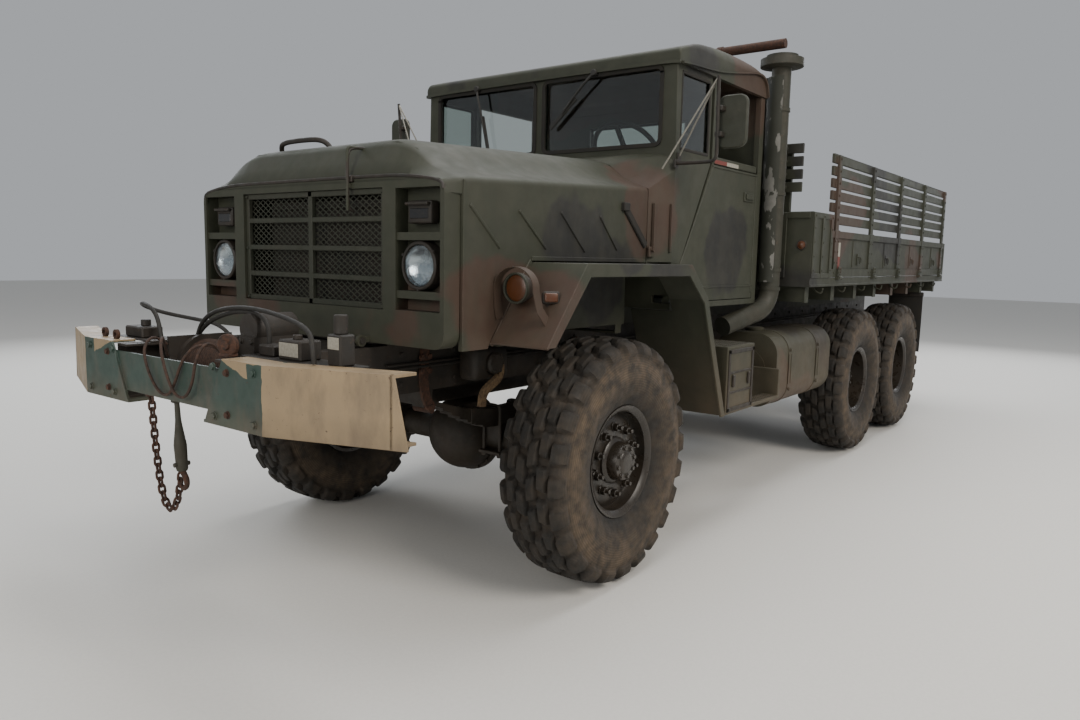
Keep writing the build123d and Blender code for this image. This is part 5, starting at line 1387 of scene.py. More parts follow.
for side, name in ((1, "left"), (-1, "right")):
    keep = join(handle_box, paddle, door_ribs, belt_strip, sill_cap, hinge_leaves, leaf_bolts)
    parts = [shape if side > 0 else other_side(shape) for shape in (keep, red_half, white_half)]
    piece(f"door_fittings_{name}", parts[0], camo_paint, f"door_{name}")
    piece(f"door_tape_red_{name}", parts[1], red_tape, f"door_{name}")
    piece(f"door_tape_white_{name}", parts[2], white_tape, f"door_{name}")
print("door fittings on both sides")

# %% [markdown]
# ## Mirrors
# A steel mirror head with well-rounded corners hangs on an upright tube well outside the cab. Its foot is
# bolted below the quarter window, and two thin stays run from the top of the tube down to the cowl and the
# belt, so that the three make a stiff tripod. The head is a rounded rectangle in four rings, of which the
# first and the last are drawn in for its rolled edge.

# %% Mirrors


def rounded_pad(centre, half_wide, half_high, corner, depth, edge):
    """A flat pad square to X: its outline is corner arcs joined by straights. Rings at the depths 0, edge,
    depth - edge and depth are drawn in by edge, 0, 0 and edge."""
    angle = np.radians(np.linspace(0, 90, 7))
    turn = np.concatenate([angle + k * np.pi / 2 for k in range(4)])
    sign_y = np.repeat([1, -1, -1, 1], 7)
    sign_z = np.repeat([1, 1, -1, -1], 7)
    rings = []
    for step, inset in ((0, edge), (edge, 0), (depth - edge, 0), (depth, edge)):
        y = sign_y * (half_wide - corner) + (corner - inset) * np.cos(turn)
        z = sign_z * (half_high - corner) + (corner - inset) * np.sin(turn)
        rings.append(np.stack([np.full(28, step), y, z], -1))
    points = np.concatenate(rings) + np.asarray(centre, float)
    return points, [grid_faces(4, 28, wrap_columns=True), np.arange(28)[None, ::-1], np.arange(28)[None] + 84]


mirror_y, mirror_x = 1.293, -0.796
heads, faces, arms, stays = [], [], [], []
for side, middle_z in ((1, 2.3575), (-1, 2.4425)):
    lift = middle_z - 2.3575
    heads.append(rounded_pad((mirror_x - 0.015, side * mirror_y, middle_z), 0.085, 0.14, 0.048, 0.03, 0.006))
    faces.append(rounded_pad((mirror_x - 0.017, side * mirror_y, middle_z), 0.077, 0.132, 0.042, 0.003,
        0.001))
    tube = smooth_line([(-0.762, side * 0.978, 2.15 + lift), (-0.76, side * 1.15, 2.148 + lift),
        (-0.75, side * 1.226, 2.15 + lift), (-0.748, side * 1.23, 2.22 + lift),
        (-0.735, side * 1.232, 2.4 + lift), (-0.722, side * 1.235, 2.59 + lift)], 48)
    arms.append(pipe(tube, 0.01, 10, (1, 0, 0)))
    top = np.array([-0.722, side * 1.235, 2.588 + lift])
    stays.append(rods([top], [(-0.6575, side * 0.95, 2.112)], 0.005, 8, 0.05))
    stays.append(rods([top], [(-0.8, side * 0.974, 2.19)], 0.005, 8, 0.05))
    clamps = np.array([(-0.765, side * 1.236, z + lift) for z in (2.29, 2.425)])
    arms.append(soft_boxes(clamps, (0.03, 0.02, 0.014), 0.004))
    arms.append(soft_boxes([(-0.762, side * 0.9775, 2.15 + lift), (-0.8, side * 0.9745, 2.19)],
        (0.02, 0.0065, 0.024), 0.003))
mirror_piece = piece("mirror_heads", join(*heads), mesh_paint)
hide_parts("mirrors")
piece("mirror_arms", join(*arms), chassis_paint)
piece("mirror_stays", join(*stays), bare_steel)
piece("mirror_faces", join(*faces), chrome)
print("mirror heads at y", mirror_y)

# %% [markdown]
# ## Seats and instruments
# A seat cushion is foam under vinyl-coated duck. Its shape is a superellipsoid: square in plan, crowned on
# top, with its sides pulled in between the corners and sewn channels that sink where the thread holds the
# cover down. A welt runs round the edge. The shape is made from its formula, so that the sewing lines stay
# sharp at a few millimetres.

# %% Padded seats


def signed_power(value, power):
    """Keeps the sign and raises the size, which squares off a circle."""
    return np.sign(value) * np.abs(value) ** power


def cushion(centre, axes, halves, crown, channels, rows=44, columns=120):
    """Superellipsoid point = centre + axes @ (A c(v) c(u), B c(v) s(u), C s(v)), where c and s are the cosine
    and sine with their size raised to a power. Then it is crowned, channelled, puckered and waisted."""
    v = np.linspace(-np.pi / 2, np.pi / 2, rows)
    u = np.arange(columns) * 2 * np.pi / columns
    v, u = np.meshgrid(v, u, indexing="ij")
    a = halves[0] * signed_power(np.cos(v), 0.32) * signed_power(np.cos(u), 0.36)
    b = halves[1] * signed_power(np.cos(v), 0.32) * signed_power(np.sin(u), 0.36)
    c = halves[2] * signed_power(np.sin(v), 0.5)
    part_a, part_b = a / halves[0], b / halves[1]
    top = np.clip(c / halves[2], 0, 1)
    c = c + crown * top * (1 - part_a ** 2) * (1 - part_b ** 2)
    for line in channels:
        c = c - 0.009 * top * np.exp(-((b - line) / 0.007) ** 2) * (1 - 0.6 * part_a ** 4)
    pucker = 0.0016 * np.sin(38 * u + 3 * v) * np.exp(-((np.abs(c) / halves[2] - 0.7) / 0.25) ** 2)
    a = a * (1 - 0.022 * (1 - part_b ** 2)) + pucker * np.cos(u)
    b = b * (1 - 0.012 * (1 - part_a ** 2)) + pucker * np.sin(u)
    points = np.stack([a, b, c], -1) @ np.asarray(axes, float) + centre
    return points.reshape(-1, 3), [grid_faces(rows, columns, wrap_columns=True)]


def welt(centre, axes, halves, level):
    """A piped seam round the cushion at a share of its half height."""
    u = np.linspace(0, 2 * np.pi, 90)
    inner = np.cos(np.arcsin(level ** 2)) ** 0.32
    local = np.stack([halves[0] * inner * signed_power(np.cos(u), 0.36)
        * (1 - 0.022 * (1 - signed_power(np.sin(u), 0.36) ** 2)), halves[1] * inner
        * signed_power(np.sin(u), 0.36) * (1 - 0.012 * (1 - signed_power(np.cos(u), 0.36) ** 2)),
        np.full(90, halves[2] * level)], -1)
    return pipe(local @ np.asarray(axes, float) + centre, 0.0042, 8, (0, 0, 1))


seat_widths = ((0.24, 0.76), (-0.86, 0.06))
level_axes = ((1, 0, 0), (0, 1, 0), (0, 0, 1))
lean = np.array([-0.1, 0.0, 0.53]) / np.hypot(0.1, 0.53)
forward = np.array([lean[2], 0.0, -lean[0]])
back_axes = (lean, (0, -1, 0), forward)
for number, (y0, y1) in enumerate(seat_widths):
    half_y = (y1 - y0) / 2 - 0.004
    middle_y = (y0 + y1) / 2
    channel_lines = np.arange(-0.5, 0.5, 0.085)
    channel_lines = channel_lines[np.abs(channel_lines) < half_y - 0.04]
    seat_centre = np.array([-1.565, middle_y, 1.754])
    back_centre = np.array([-1.744, middle_y, 2.098])
    base_halves = (0.232, half_y, 0.062)
    back_halves = (0.262, half_y, 0.05)
    shapes = (cushion(seat_centre, level_axes, base_halves, 0.016, channel_lines),
        cushion(back_centre, back_axes, back_halves, 0.014, channel_lines))
    for label, shape in zip(("base", "back"), shapes):
        made = piece(f"seat_{label}_{number}", shape, seat_duck, "chassis", 60)
        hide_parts("seats")
    piece(f"seat_welts_{number}",
        join(welt(seat_centre, level_axes, base_halves, 0.62),
        welt(back_centre, back_axes, back_halves, 0.62)), flap_rubber)
print("seat cushions:", 2 * len(seat_widths))

# %% Instruments
panel_normal = np.array([-0.78, 0.0, 0.625])
bezels, faces, needles = [], [], []
for k in range(7):
    place = np.array([-0.9215, 0.175 + 0.088 * k, 2.1405])
    size = 0.036 if k in (2, 5) else 0.029
    bezels.append(turned([(-0.002, size), (0.006, size + 0.004), (0.01, size), (0.006, size - 0.004),
        (0.002, size - 0.004)], place, panel_normal, 28, True))
    faces.append(turned([(0.001, 0.0), (0.001, size - 0.003), (0.0025, size - 0.003), (0.0025, 0.0)], place,
        panel_normal, 28))
    tip = np.array([0.6, np.cos(1.1 * k), 0.78 * np.sin(1.1 * k) + 0.2])
    tip = tip - panel_normal * (tip @ panel_normal)
    tip = tip / np.linalg.norm(tip) * size * 0.75
    needles.append(rods([place + panel_normal * 0.004], [place + panel_normal * 0.004 + tip], 0.0012, 6,
        0.0004))
knob_widths = (-0.1, -0.02, 0.06, 0.8)
knobs = rods([(-0.95, y, 1.985) for y in knob_widths], [(-0.978, y, 1.99) for y in knob_widths], 0.011, 14,
    0.003)
shift = pipe(smooth_line([(-1.16, 0.12, 1.362), (-1.18, 0.12, 1.6), (-1.23, 0.13, 1.83)], 24), 0.01, 10)
shift_knob = turned([(-0.028, 0.0), (-0.024, 0.016), (0.0, 0.026), (0.02, 0.02), (0.028, 0.0)],
    (-1.236, 0.131, 1.85), (-0.24, 0, 1), 20)
piece("instrument_bezels", join(*bezels, knobs, shift, shift_knob), cab_black)
piece("instrument_faces", join(*faces), white_tape)
piece("instrument_needles", join(*needles), red_tape)
pedal_widths = (0.34, 0.48, 0.61)
pedals = slabs([(-0.905, -0.88, y - 0.035, y + 0.035, 1.5, 1.56) for y in pedal_widths], 0.006)
pedal_arms = rods([(-0.89, y, 1.53) for y in pedal_widths], [(-0.822, y, 1.86) for y in pedal_widths], 0.009)
piece("pedals", join(pedals, pedal_arms), cab_black)
print("gauges:", len(faces))

# %% [markdown]
# ## Cargo bed
# Pressed side panels with riveted posts, hook latches, bolted slats and hinge leaves. The bed's lamps, the
# reflective tape and the rope hooks below the floor are what the eye picks out along its length.

# %% Bolts, hinge leaves and latches on the bed
post_stations = np.linspace(-2.89, -6.48, 5)
hinge_places = np.array([-2.95, -3.88, -4.68, -5.48, -6.4])
slat_heights = 2.42 - 0.034 - 0.089 * np.arange(6)
outer_y = 1.218


def grid_places(stations, y, heights):
    """Every pairing of a station from the front axle with a height, at one width."""
    x, z = np.meshgrid(stations, heights, indexing="ij")
    return np.stack([x, np.full_like(x, y), z], -1).reshape(-1, 3)


stake_bolts = bolts(grid_places(post_stations, 1.2165, slat_heights), (0, 1, 0), 0.017, 0.006)
slat_heads = bolts(grid_places(post_stations, 1.1735, slat_heights), (0, -1, 0), 0.02, 0.004)
post_rivets = bolts(grid_places(np.concatenate([post_stations - 0.032, post_stations + 0.032]), outer_y,
    np.array([1.545, 1.62, 1.7, 1.78, 1.83])), (0, 1, 0), 0.011, 0.004)
leaves = soft_boxes(np.column_stack([hinge_places, np.full(5, 1.2325), np.full(5, 1.56)]),
    (0.034, 0.003, 0.03), 0.003)
leaf_heads = bolts(grid_places(np.concatenate([hinge_places - 0.018, hinge_places + 0.018]), 1.2355,
    np.array([1.548, 1.572])), (0, 1, 0), 0.013, 0.005)
socket_plates = slabs([(x - 0.052, x + 0.052, 1.2165, 1.2215, 1.8, 1.862) for x in post_stations], 0.002)
panel_rib_stations = (-3.338, -4.236, -5.133, -6.03)
panel_ribs = strips([(x, 1.2075, 1.585) for x in panel_rib_stations],
    [(x, 1.2075, 1.795) for x in panel_rib_stations], 0.03, 0.008, 0.003, (0, 1, 0))
latch_stations = np.array([-3.474, -4.292, -5.19, -6.09])
latch_plates = soft_boxes(np.column_stack([latch_stations, np.full(4, 1.2095), np.full(4, 1.648)]),
    (0.03, 0.005, 0.045), 0.003)
latch_loops = [pipe(smooth_line([(x - 0.022, 1.212, 1.668), (x - 0.022, 1.226, 1.664),
    (x - 0.02, 1.229, 1.625), (x, 1.23, 1.612), (x + 0.02, 1.229, 1.625), (x + 0.022, 1.226, 1.664),
    (x + 0.022, 1.212, 1.668)], 32), 0.005, 8) for x in latch_stations]
side_shape = join(stake_bolts, slat_heads, post_rivets, leaves, leaf_heads, socket_plates, panel_ribs,
    latch_plates, *latch_loops)
tape_length = 0.21
tape_x = -2.955
tape_red = strips([(tape_x, 1.2187, 1.56)], [(tape_x, 1.2187, 1.56 + tape_length / 2)], 0.046, 0.0012,
    0.0003, (0, 1, 0))
tape_white = strips([(tape_x, 1.2187, 1.561 + tape_length / 2)], [(tape_x, 1.2187, 1.561 + tape_length)],
    0.046, 0.0012, 0.0003, (0, 1, 0))
for side, name in ((1, "left"), (-1, "right")):
    for shape, label, finish, slot in ((side_shape, "fittings", camo_paint, "camo_paint"),
            (tape_red, "tape_red", red_tape, "camo_paint"),
            (tape_white, "tape_white", white_tape, "camo_paint")):
        piece(f"dropside_{label}_{name}", shape if side > 0 else other_side(shape), finish,
            f"dropside_{name}")
print("dropside bolts:", 2 * (30 + 30 + 50))

# %% Bulkhead, front rack and floor
bed_front_x, tail_x = -2.344, -6.611
rack_post_widths = (-1.0, -0.5, 0, 0.5, 1.0)
rack_heads = [(bed_front_x + 0.0005, y, 2.445 - 0.034 - 0.089 * k) for y in rack_post_widths
    for k in range(4)]
bulkhead_posts = slabs([(bed_front_x - 0.0005, bed_front_x + 0.012, y - 0.035, y + 0.035, 1.505, 1.966)
    for y in rack_post_widths] + [(bed_front_x - 0.0005, bed_front_x + 0.01, -1.2, 1.2, 1.925, 1.97)], 0.003)
corner_post_stations = (-2.385, -2.565, -2.748)
corner_posts = slabs([(x - 0.026, x + 0.026, outer_y - 0.001, outer_y + 0.009, 1.506, 1.96)
    for x in corner_post_stations] + [(-2.78, -2.35, outer_y - 0.001, outer_y + 0.008, 1.93, 1.971),
    (-2.78, -2.35, outer_y - 0.001, outer_y + 0.008, 1.506, 1.54)], 0.003)
corner_rivets = bolts(grid_places(np.array(corner_post_stations), outer_y + 0.009,
    np.array([1.56, 1.66, 1.76, 1.86, 1.945])), (0, 1, 0), 0.011, 0.004)
floor_edge = strips([(-2.35, outer_y + 0.002, 1.452)], [(-6.6, outer_y + 0.002, 1.452)], 0.016, 0.008, 0.003,
    (0, 1, 0))
hook_stations = np.linspace(-2.62, -6.25, 8)
rope_hooks = join(*[pipe(smooth_line([(x, 1.15, 1.438), (x, 1.17, 1.405), (x, 1.205, 1.392),
    (x, 1.222, 1.41), (x, 1.222, 1.432)], 20), 0.007, 8) for x in hook_stations])
sill_stations = bed_front_x - 0.12 + (tail_x + 0.26 - bed_front_x) * np.arange(8) / 7
sill_ends = slabs([(x - 0.04, x + 0.04, 1.154, 1.162, 1.326, 1.44) for x in sill_stations], 0.002)
under_sides = join(corner_posts, corner_rivets, floor_edge, rope_hooks, sill_ends)
floor_strips = slabs([(-6.56, -2.395, y - 0.028, y + 0.028, 1.5045, 1.51)
    for y in np.linspace(-0.9, 0.9, 7)], 0.002)
floor_bolts = bolts([(x, y, 1.51) for x in np.linspace(-2.5, -6.45, 14) for y in np.linspace(-0.9, 0.9, 7)],
    (0, 0, 1), 0.016, 0.003)
piece("bed_fittings", join(bolts(rack_heads, (1, 0, 0), 0.017, 0.006), bulkhead_posts, mirrored(under_sides),
    floor_strips, floor_bolts), camo_paint)
print("rope hooks:", 2 * len(hook_stations))

# %% Tailgate, tail lamps and mud flaps
gate_rib_widths = (-1.17, -0.62, 0.0, 0.62, 1.17)
gate_ribs = slabs([(tail_x - 0.009, tail_x + 0.001, y - 0.04, y + 0.04, 1.53, 1.85) for y in gate_rib_widths]
    + [(tail_x - 0.008, tail_x + 0.001, -1.21, 1.21, z, z + 0.04) for z in (1.53, 1.812)], 0.003)
gate_bolts = bolts([(tail_x - 0.009, y + w, z) for y in gate_rib_widths for w in (-0.025, 0.025)
    for z in (1.6, 1.68, 1.76)], (-1, 0, 0), 0.012, 0.005)
gate_leaves = slabs([(tail_x - 0.014, tail_x - 0.011, y - 0.032, y + 0.032, 1.53, 1.59)
    for y in (-0.95, -0.32, 0.32, 0.95)], 0.001)
gate_hooks = [pipe(smooth_line([(tail_x + 0.01, side * 1.195, 1.8), (tail_x - 0.012, side * 1.205, 1.802),
    (tail_x - 0.016, side * 1.205, 1.77), (tail_x - 0.014, side * 1.205, 1.73)], 20), 0.006, 8)
    for side in (-1, 1)]
piece("tailgate_fittings", join(gate_ribs, gate_bolts, gate_leaves, *gate_hooks), camo_paint,
    "tailgate")
gate_tape = [[], []]
for side in (-1, 1):
    for k in range(4):
        y = side * (0.7 + 0.1 * k)
        gate_tape[k % 2].append(strips([(tail_x - 0.0012, y - 0.049, 1.7)],
            [(tail_x - 0.0012, y + 0.049, 1.7)], 0.046, 0.0012, 0.0003, (1, 0, 0)))
piece("tailgate_tape_red", join(*gate_tape[0]), red_tape, "tailgate")
piece("tailgate_tape_white", join(*gate_tape[1]), white_tape, "tailgate")
lamp_bodies, lamp_lens = [], []
for side in (-1, 1):
    lamp_bodies.append(soft_boxes(np.array([(-6.571, side * 0.9, 1.392)]), (0.035, 0.1, 0.05), 0.01, 3))
    for y in (0.85, 0.95):
        lamp_bodies.append(turned([(0.0, 0.034), (0.004, 0.04), (0.01, 0.038), (0.01, 0.03), (0.0, 0.03)],
            (-6.606, side * y, 1.392), (-1, 0, 0), 28, True))
        lamp_lens.append(turned([(0.0, 0.0), (0.0, 0.029), (0.006, 0.028), (0.01, 0.016), (0.011, 0.0)],
            (-6.604, side * y, 1.392), (-1, 0, 0), 28))
    marker_at = (bed_front_x, side * 1.149, 1.738)
    lamp_bodies.append(turned([(0.0, 0.0), (0.0, 0.034), (0.01, 0.036), (0.014, 0.032), (0.014, 0.0)],
        marker_at, (1, 0, 0), 28))
    lamp_lens.append(turned([(0.012, 0.0), (0.012, 0.029), (0.022, 0.026), (0.03, 0.012), (0.031, 0.0)],
        marker_at, (1, 0, 0), 28))
piece("bed_lamp_bodies", join(*lamp_bodies), chassis_paint)
piece("bed_lamp_lenses", join(*lamp_lens), amber_lens)


def flap_sheet(y0, y1):
    """A hanging rubber sheet: it bows rearwards by 6 mm * sin(pi * share down) and ripples by 3 mm."""
    across, down = np.meshgrid(np.linspace(0, 1, 13), np.linspace(0, 1, 17), indexing="ij")
    y = y0 + (y1 - y0) * across
    z = 1.33 - 0.63 * down
    x = -5.905 - 0.006 * np.sin(np.pi * down) + 0.003 * np.sin(9 * across) * down
    front = np.stack([x + 0.004, y, z], -1)
    back = np.stack([x - 0.004, y, z], -1)
    return relief(front, back)


flaps = piece("mud_flap_sheets", join(flap_sheet(0.85, 1.19), flap_sheet(-1.19, -0.85)), flap_rubber)
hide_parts("mud_flaps")
clamp = slabs([(-5.92, -5.89, 0.845, 1.195, 1.285, 1.328)], 0.003)
clamp_bolt_widths = (0.88, 0.97, 1.07, 1.16)
clamp_bolts = bolts([(-5.92, y, 1.307) for y in clamp_bolt_widths], (-1, 0, 0), 0.014, 0.007)
clamp_front = bolts([(-5.89, y, 1.307) for y in clamp_bolt_widths], (1, 0, 0), 0.014, 0.005)
piece("mud_flap_clamps", mirrored(join(clamp, clamp_bolts, clamp_front)), chassis_paint)
print("bed lamps:", len(lamp_lens))

# %% [markdown]
# ## Running gear and boxes below the floor
# Spring packs are clamped to the axles by U-bolts, with clips round the leaves. Round clamps, straps, treads,
# lids and bolts go on the tank, the step boxes, the air reservoirs and the two stacks.

# %% Springs, dampers and axle fittings
spring_y = 0.39


def u_bolt(x, y, half, low, high, radius):
    """A round bar bent over a spring pack, both legs pointing down."""
    line = smooth_line([(x, y - half, low), (x, y - half, high - 0.02), (x, y - half + 0.01, high),
        (x, y + half - 0.01, high), (x, y + half, high - 0.02), (x, y + half, low)], 40)
    return pipe(line, radius, 10, (1, 0, 0))


front_bolts, rear_bolts, clips = [], [], []
for x in (-0.098, 0.098):
    front_bolts.append(u_bolt(x, spring_y, 0.056, 0.54, 0.816, 0.01))
    nuts = bolts([(x, spring_y + w, 0.548) for w in (-0.056, 0.056)], (0, 0, -1), 0.03, 0.016)
    front_bolts.append(nuts)
front_bolts.append(slabs([(-0.125, 0.125, spring_y - 0.075, spring_y + 0.075, 0.548, 0.566)], 0.003))
for x in (-0.3, 0.3):
    clips.append(slabs([(x - 0.018, x + 0.018, spring_y - 0.05, spring_y - 0.043, 0.748, 0.836),
        (x - 0.018, x + 0.018, spring_y + 0.043, spring_y + 0.05, 0.748, 0.836),
        (x - 0.018, x + 0.018, spring_y - 0.05, spring_y + 0.05, 0.828, 0.836)], 0.002))
for station_x in rear_stations:
    for x in (-0.085, 0.085):
        rear_bolts.append(u_bolt(station_x + x, spring_y, 0.056, 0.56, 0.866, 0.01))
leaf_lines = slabs([(-4.547 - reach, -4.547 + reach, spring_y - 0.0435, spring_y + 0.0435, 0.85 + 0.012 * k,
    0.8615 + 0.012 * k) for k, reach in enumerate((0.62, 0.52, 0.42, 0.32, 0.22))], 0.0015)
low, high = np.array([-0.11, 0.5, 0.7]), np.array([-0.33, 0.47, 1.12])
third = low + (high - low) * 0.55
dampers = [rods([low], [third], 0.032, 20, 0.004),
    rods([third - (high - low) * 0.02], [high], 0.026, 20, 0.003),
    rods([low - (0, 0.04, 0)], [low + (0, 0.04, 0)], 0.02),
    rods([high - (0, 0.045, 0)], [high + (0, 0.03, 0)], 0.02)]
piece("spring_clamps", mirrored(join(*front_bolts, *rear_bolts, *clips, leaf_lines)), chassis_paint)
piece("dampers", mirrored(join(*dampers)), chassis_paint)
steering_box = join(soft_boxes([(0.3, 0.5, 1.08)], (0.13, 0.062, 0.085), 0.03, 3),
    turned([(0.0, 0.0), (0.0, 0.052), (0.02, 0.056), (0.034, 0.046), (0.036, 0.0)], (0.3, 0.56, 1.08),
    (0, 1, 0), 28),
    bolts([(0.3 + 0.044 * np.cos(t), 0.594, 1.08 + 0.044 * np.sin(t)) for t in np.arange(6) * np.pi / 3],
    (0, 1, 0), 0.013, 0.008))
drop_arm = ribbon(smooth_line([(0.262, 0.56, 1.115), (0.243, 0.566, 1.055), (0.262, 0.572, 0.998),
    (0.35, 0.574, 0.962), (0.388, 0.574, 0.93), (0.392, 0.572, 0.87)], 36), 0.04, 0.024, (0, 1, 0))
piece("steering_box", steering_box, chassis_paint)
piece("drop_arm", drop_arm, sandy_steel)
flanges, chambers = [], []
for x, y in zip((0.0, *rear_stations), (0.105, 0.0, 0.0)):
    centre = np.array([x - 0.035, y, 0.616])
    flanges.append(hoop(0.014, 0.185, 0.226, centre, (1, 0, 0), 48))
    turn = np.arange(16) * 2 * np.pi / 16
    ring = centre + np.stack([np.full(16, 0.014), 0.213 * np.cos(turn), 0.213 * np.sin(turn)], -1)
    flanges.append(bolts(ring, (1, 0, 0), 0.02, 0.012))
    flanges.append(turned([(0.15, 0.06), (0.19, 0.07), (0.205, 0.0)], (x, y, 0.616), (1, 0, 0), 28))
for x in rear_stations:
    at = np.array([x + 0.11, 0.61, 0.76])
    chambers.append(turned([(0.0, 0.0), (0.0, 0.05), (0.02, 0.072), (0.055, 0.078), (0.055, 0.086),
        (0.07, 0.086), (0.07, 0.078), (0.11, 0.07), (0.125, 0.04), (0.125, 0.0)], at, (1, 0, 0.15), 32))
    chambers.append(rods([at - (0.13, 0, 0.02)], [at + (0.004, 0, 0)], 0.009))
    chambers.append(slabs([(x + 0.085, x + 0.11, 0.56, 0.66, 0.66, 0.79)], 0.004))
piece("axle_flanges", join(*flanges), chassis_paint)
piece("brake_chambers", mirrored(join(*chambers)), chassis_paint)
hangers = [ribbon(smooth_line([(0.65, 0.436, 1.17), (0.665, 0.44, 1.06), (0.66, 0.44, 0.96),
    (0.625, 0.438, 0.89), (0.6, 0.438, 0.868)], 30), 0.052, 0.014, (0, 1, 0)),
    ribbon(smooth_line([(-0.56, 0.436, 1.12), (-0.6, 0.44, 1.02), (-0.64, 0.438, 0.9)], 24), 0.052, 0.014,
    (0, 1, 0)),
    rods([(0.615, 0.335, 0.872), (-0.63, 0.335, 0.885)], [(0.615, 0.45, 0.872), (-0.63, 0.45, 0.885)],
    0.024), bolts([(x, 0.443, z) for x in (0.63, 0.68, -0.56, -0.6) for z in (1.06, 1.13)], (0, 1, 0), 0.024,
    0.012)]
piece("spring_hangers", mirrored(join(*hangers)), rusty_steel)
rail_bolts = bolts([(x, 0.4305, z) for x in np.arange(1.15, -6.4, -0.35) for z in (1.01, 1.15)], (0, 1, 0),
    0.02, 0.01)
pipes_on_rail = [pipe(smooth_line([(x, 0.444 + 0.003 * (k % 2), z) for k,
    x in enumerate(np.linspace(0.9, -6.2, 15))], 120), 0.0065, 8) for z in (1.085, 1.105)]
piece("rail_fasteners", mirrored(join(rail_bolts, *pipes_on_rail)), chassis_paint)
joints = [turned([(-0.045, 0.05), (-0.045, 0.072), (-0.012, 0.072), (-0.012, 0.058), (0.012, 0.058),
    (0.012, 0.072), (0.045, 0.072), (0.045, 0.05)], (x, y, z), (1, 0, 0), 24, True) for x, y,
    z in ((-0.42, 0.105, 0.64), (-1.28, 0.105, 0.64), (-2.18, 0, 0.7), (-3.52, 0, 0.7), (-4.18, 0, 0.7),
    (-4.9, 0, 0.7))]
piece("shaft_joints", join(*joints), rusty_steel)
print("rail bolts:", 2 * 2 * len(np.arange(1.15, -6.4, -0.35)))

# %% Tank, steps, reservoirs and stacks


def tread_marks(stations, widths, height, half_long, half_wide):
    """Raised marks on a grid, each slanting against its neighbours: an end lies at the middle plus or minus
    (half_long, half_wide times -1 to the power of the row plus the column)."""
    x, y = np.meshgrid(stations, widths, indexing="ij")
    middle = np.column_stack([x.ravel(), y.ravel(), np.full(x.size, height)])
    number = np.arange(x.size)
    sign = np.where((number + number // x.shape[1]) % 2, 1, -1)
    reach = np.stack([half_long + 0 * sign, half_wide * sign, 0 * sign], -1)
    return strips(middle - reach, middle + reach, 0.005, 0.003, 0.001)


tank_cap = [turned([(0.0, 0.0), (0.0, 0.062), (0.006, 0.066), (0.022, 0.066), (0.028, 0.058), (0.032, 0.0)],
    (-2.18, 0.9, 1.122), (0, 0, 1), 36), turned([(0.0, 0.0), (0.0, 0.08), (0.005, 0.08), (0.005, 0.0)],
    (-2.18, 0.9, 1.121), (0, 0, 1), 36)]
strap_bolts = bolts([(x, 1.1545, z) for x in (-2.235, -2.8) for z in (0.72, 1.0)], (0, 1, 0), 0.02, 0.01)
strap_edges = slabs([(x + w - 0.003, x + w + 0.003, 1.15, 1.158, 0.76, 0.97) for x in (-2.235, -2.8)
    for w in (-0.022, 0.022)], 0.001)
end_seams = [turned([(0.0, 0.0), (0.0, 0.15), (0.004, 0.15), (0.004, 0.0)], (-1.9955, 0.92, 0.865),
    (1, 0, 0), 40)]
drain = turned([(0.0, 0.0), (0.0, 0.022), (0.012, 0.022), (0.014, 0.0)], (-2.55, 0.92, 0.606), (0, 0, -1), 24)
piece("tank_fittings", join(*tank_cap, strap_bolts, strap_edges, *end_seams, drain), camo_paint)
tread = tread_marks(np.arange(-1.905, -1.475, 0.026), np.arange(1.102, 1.2, 0.02), 0.7225, 0.008, 0.004)
tread_top = tread_marks(np.arange(-1.445, -1.09, 0.03), np.arange(0.805, 1.19, 0.03), 1.1105, 0.009, 0.005)
lid_frame = slabs([(-1.45, -1.09, 1.2045, 1.212, z0, z1) for z0, z1 in ((0.715, 0.74), (1.065, 1.09))]
    + [(x, x + 0.025, 1.2045, 1.212, 0.715, 1.09) for x in (-1.45, -1.115)], 0.003)
lid_latches = soft_boxes(np.array([(-1.38, 1.212, 0.9), (-1.16, 1.212, 0.9)]), (0.014, 0.008, 0.036), 0.004)
lid_ribs = strips([(-1.425, 1.206, z) for z in (0.83, 0.95)], [(-1.115, 1.206, z) for z in (0.83, 0.95)],
    0.014, 0.007, 0.003, (0, 1, 0))
piece("step_box_fittings", mirrored(join(tread, tread_top, lid_frame, lid_latches, lid_ribs)), chassis_paint)
domes = []
for x0 in (-2.5, -2.95):
    for x, way in ((x0, -1), (x0 + 0.4, 1)):
        domes.append(turned([(-0.002, 0.1295), (0.014, 0.12), (0.028, 0.08), (0.034, 0.03), (0.035, 0.0)],
            (x, -0.8, 0.86), (way, 0, 0), 36))
    for x in (x0 + 0.09, x0 + 0.31):
        domes.append(hoop(0.016, 0.129, 0.134, (x, -0.8, 0.86), (1, 0, 0), 40))
piece("reservoir_ends", join(*domes), chassis_paint)
stack_at = (-2.13, 1.015)
clamps = [hoop(0.012, 0.0645, 0.071, (*stack_at, z), (0, 0, 1), 36) for z in (1.43, 1.56, 2.08, 2.64)]
clamps.append(turned([(0.0, 0.066), (0.004, 0.1), (0.018, 0.126), (0.02, 0.1425), (0.0, 0.1425),
    (-0.004, 0.12), (-0.01, 0.066)], (*stack_at, 2.925), (0, 0, 1), 48, True))
wing_nut = join(rods([(*stack_at, 3.0)], [(*stack_at, 3.018)], 0.008),
    soft_boxes(np.array([(*stack_at, 3.014)]), (0.022, 0.004, 0.007), 0.002))
shell_turn = np.radians(np.linspace(-52.6 - 86, -52.6 + 86, 25))
shell_z = np.linspace(1.475, 2.855, 40)
turn_grid, z_grid = np.meshgrid(shell_turn, shell_z, indexing="ij")
wave = 0.0015 * np.sin(z_grid * 40.0)
shell = [np.stack([stack_at[0] + (radius + wave) * np.cos(turn_grid), stack_at[1] + (radius + wave)
    * np.sin(turn_grid), z_grid], -1) for radius in (0.088, 0.0855)]
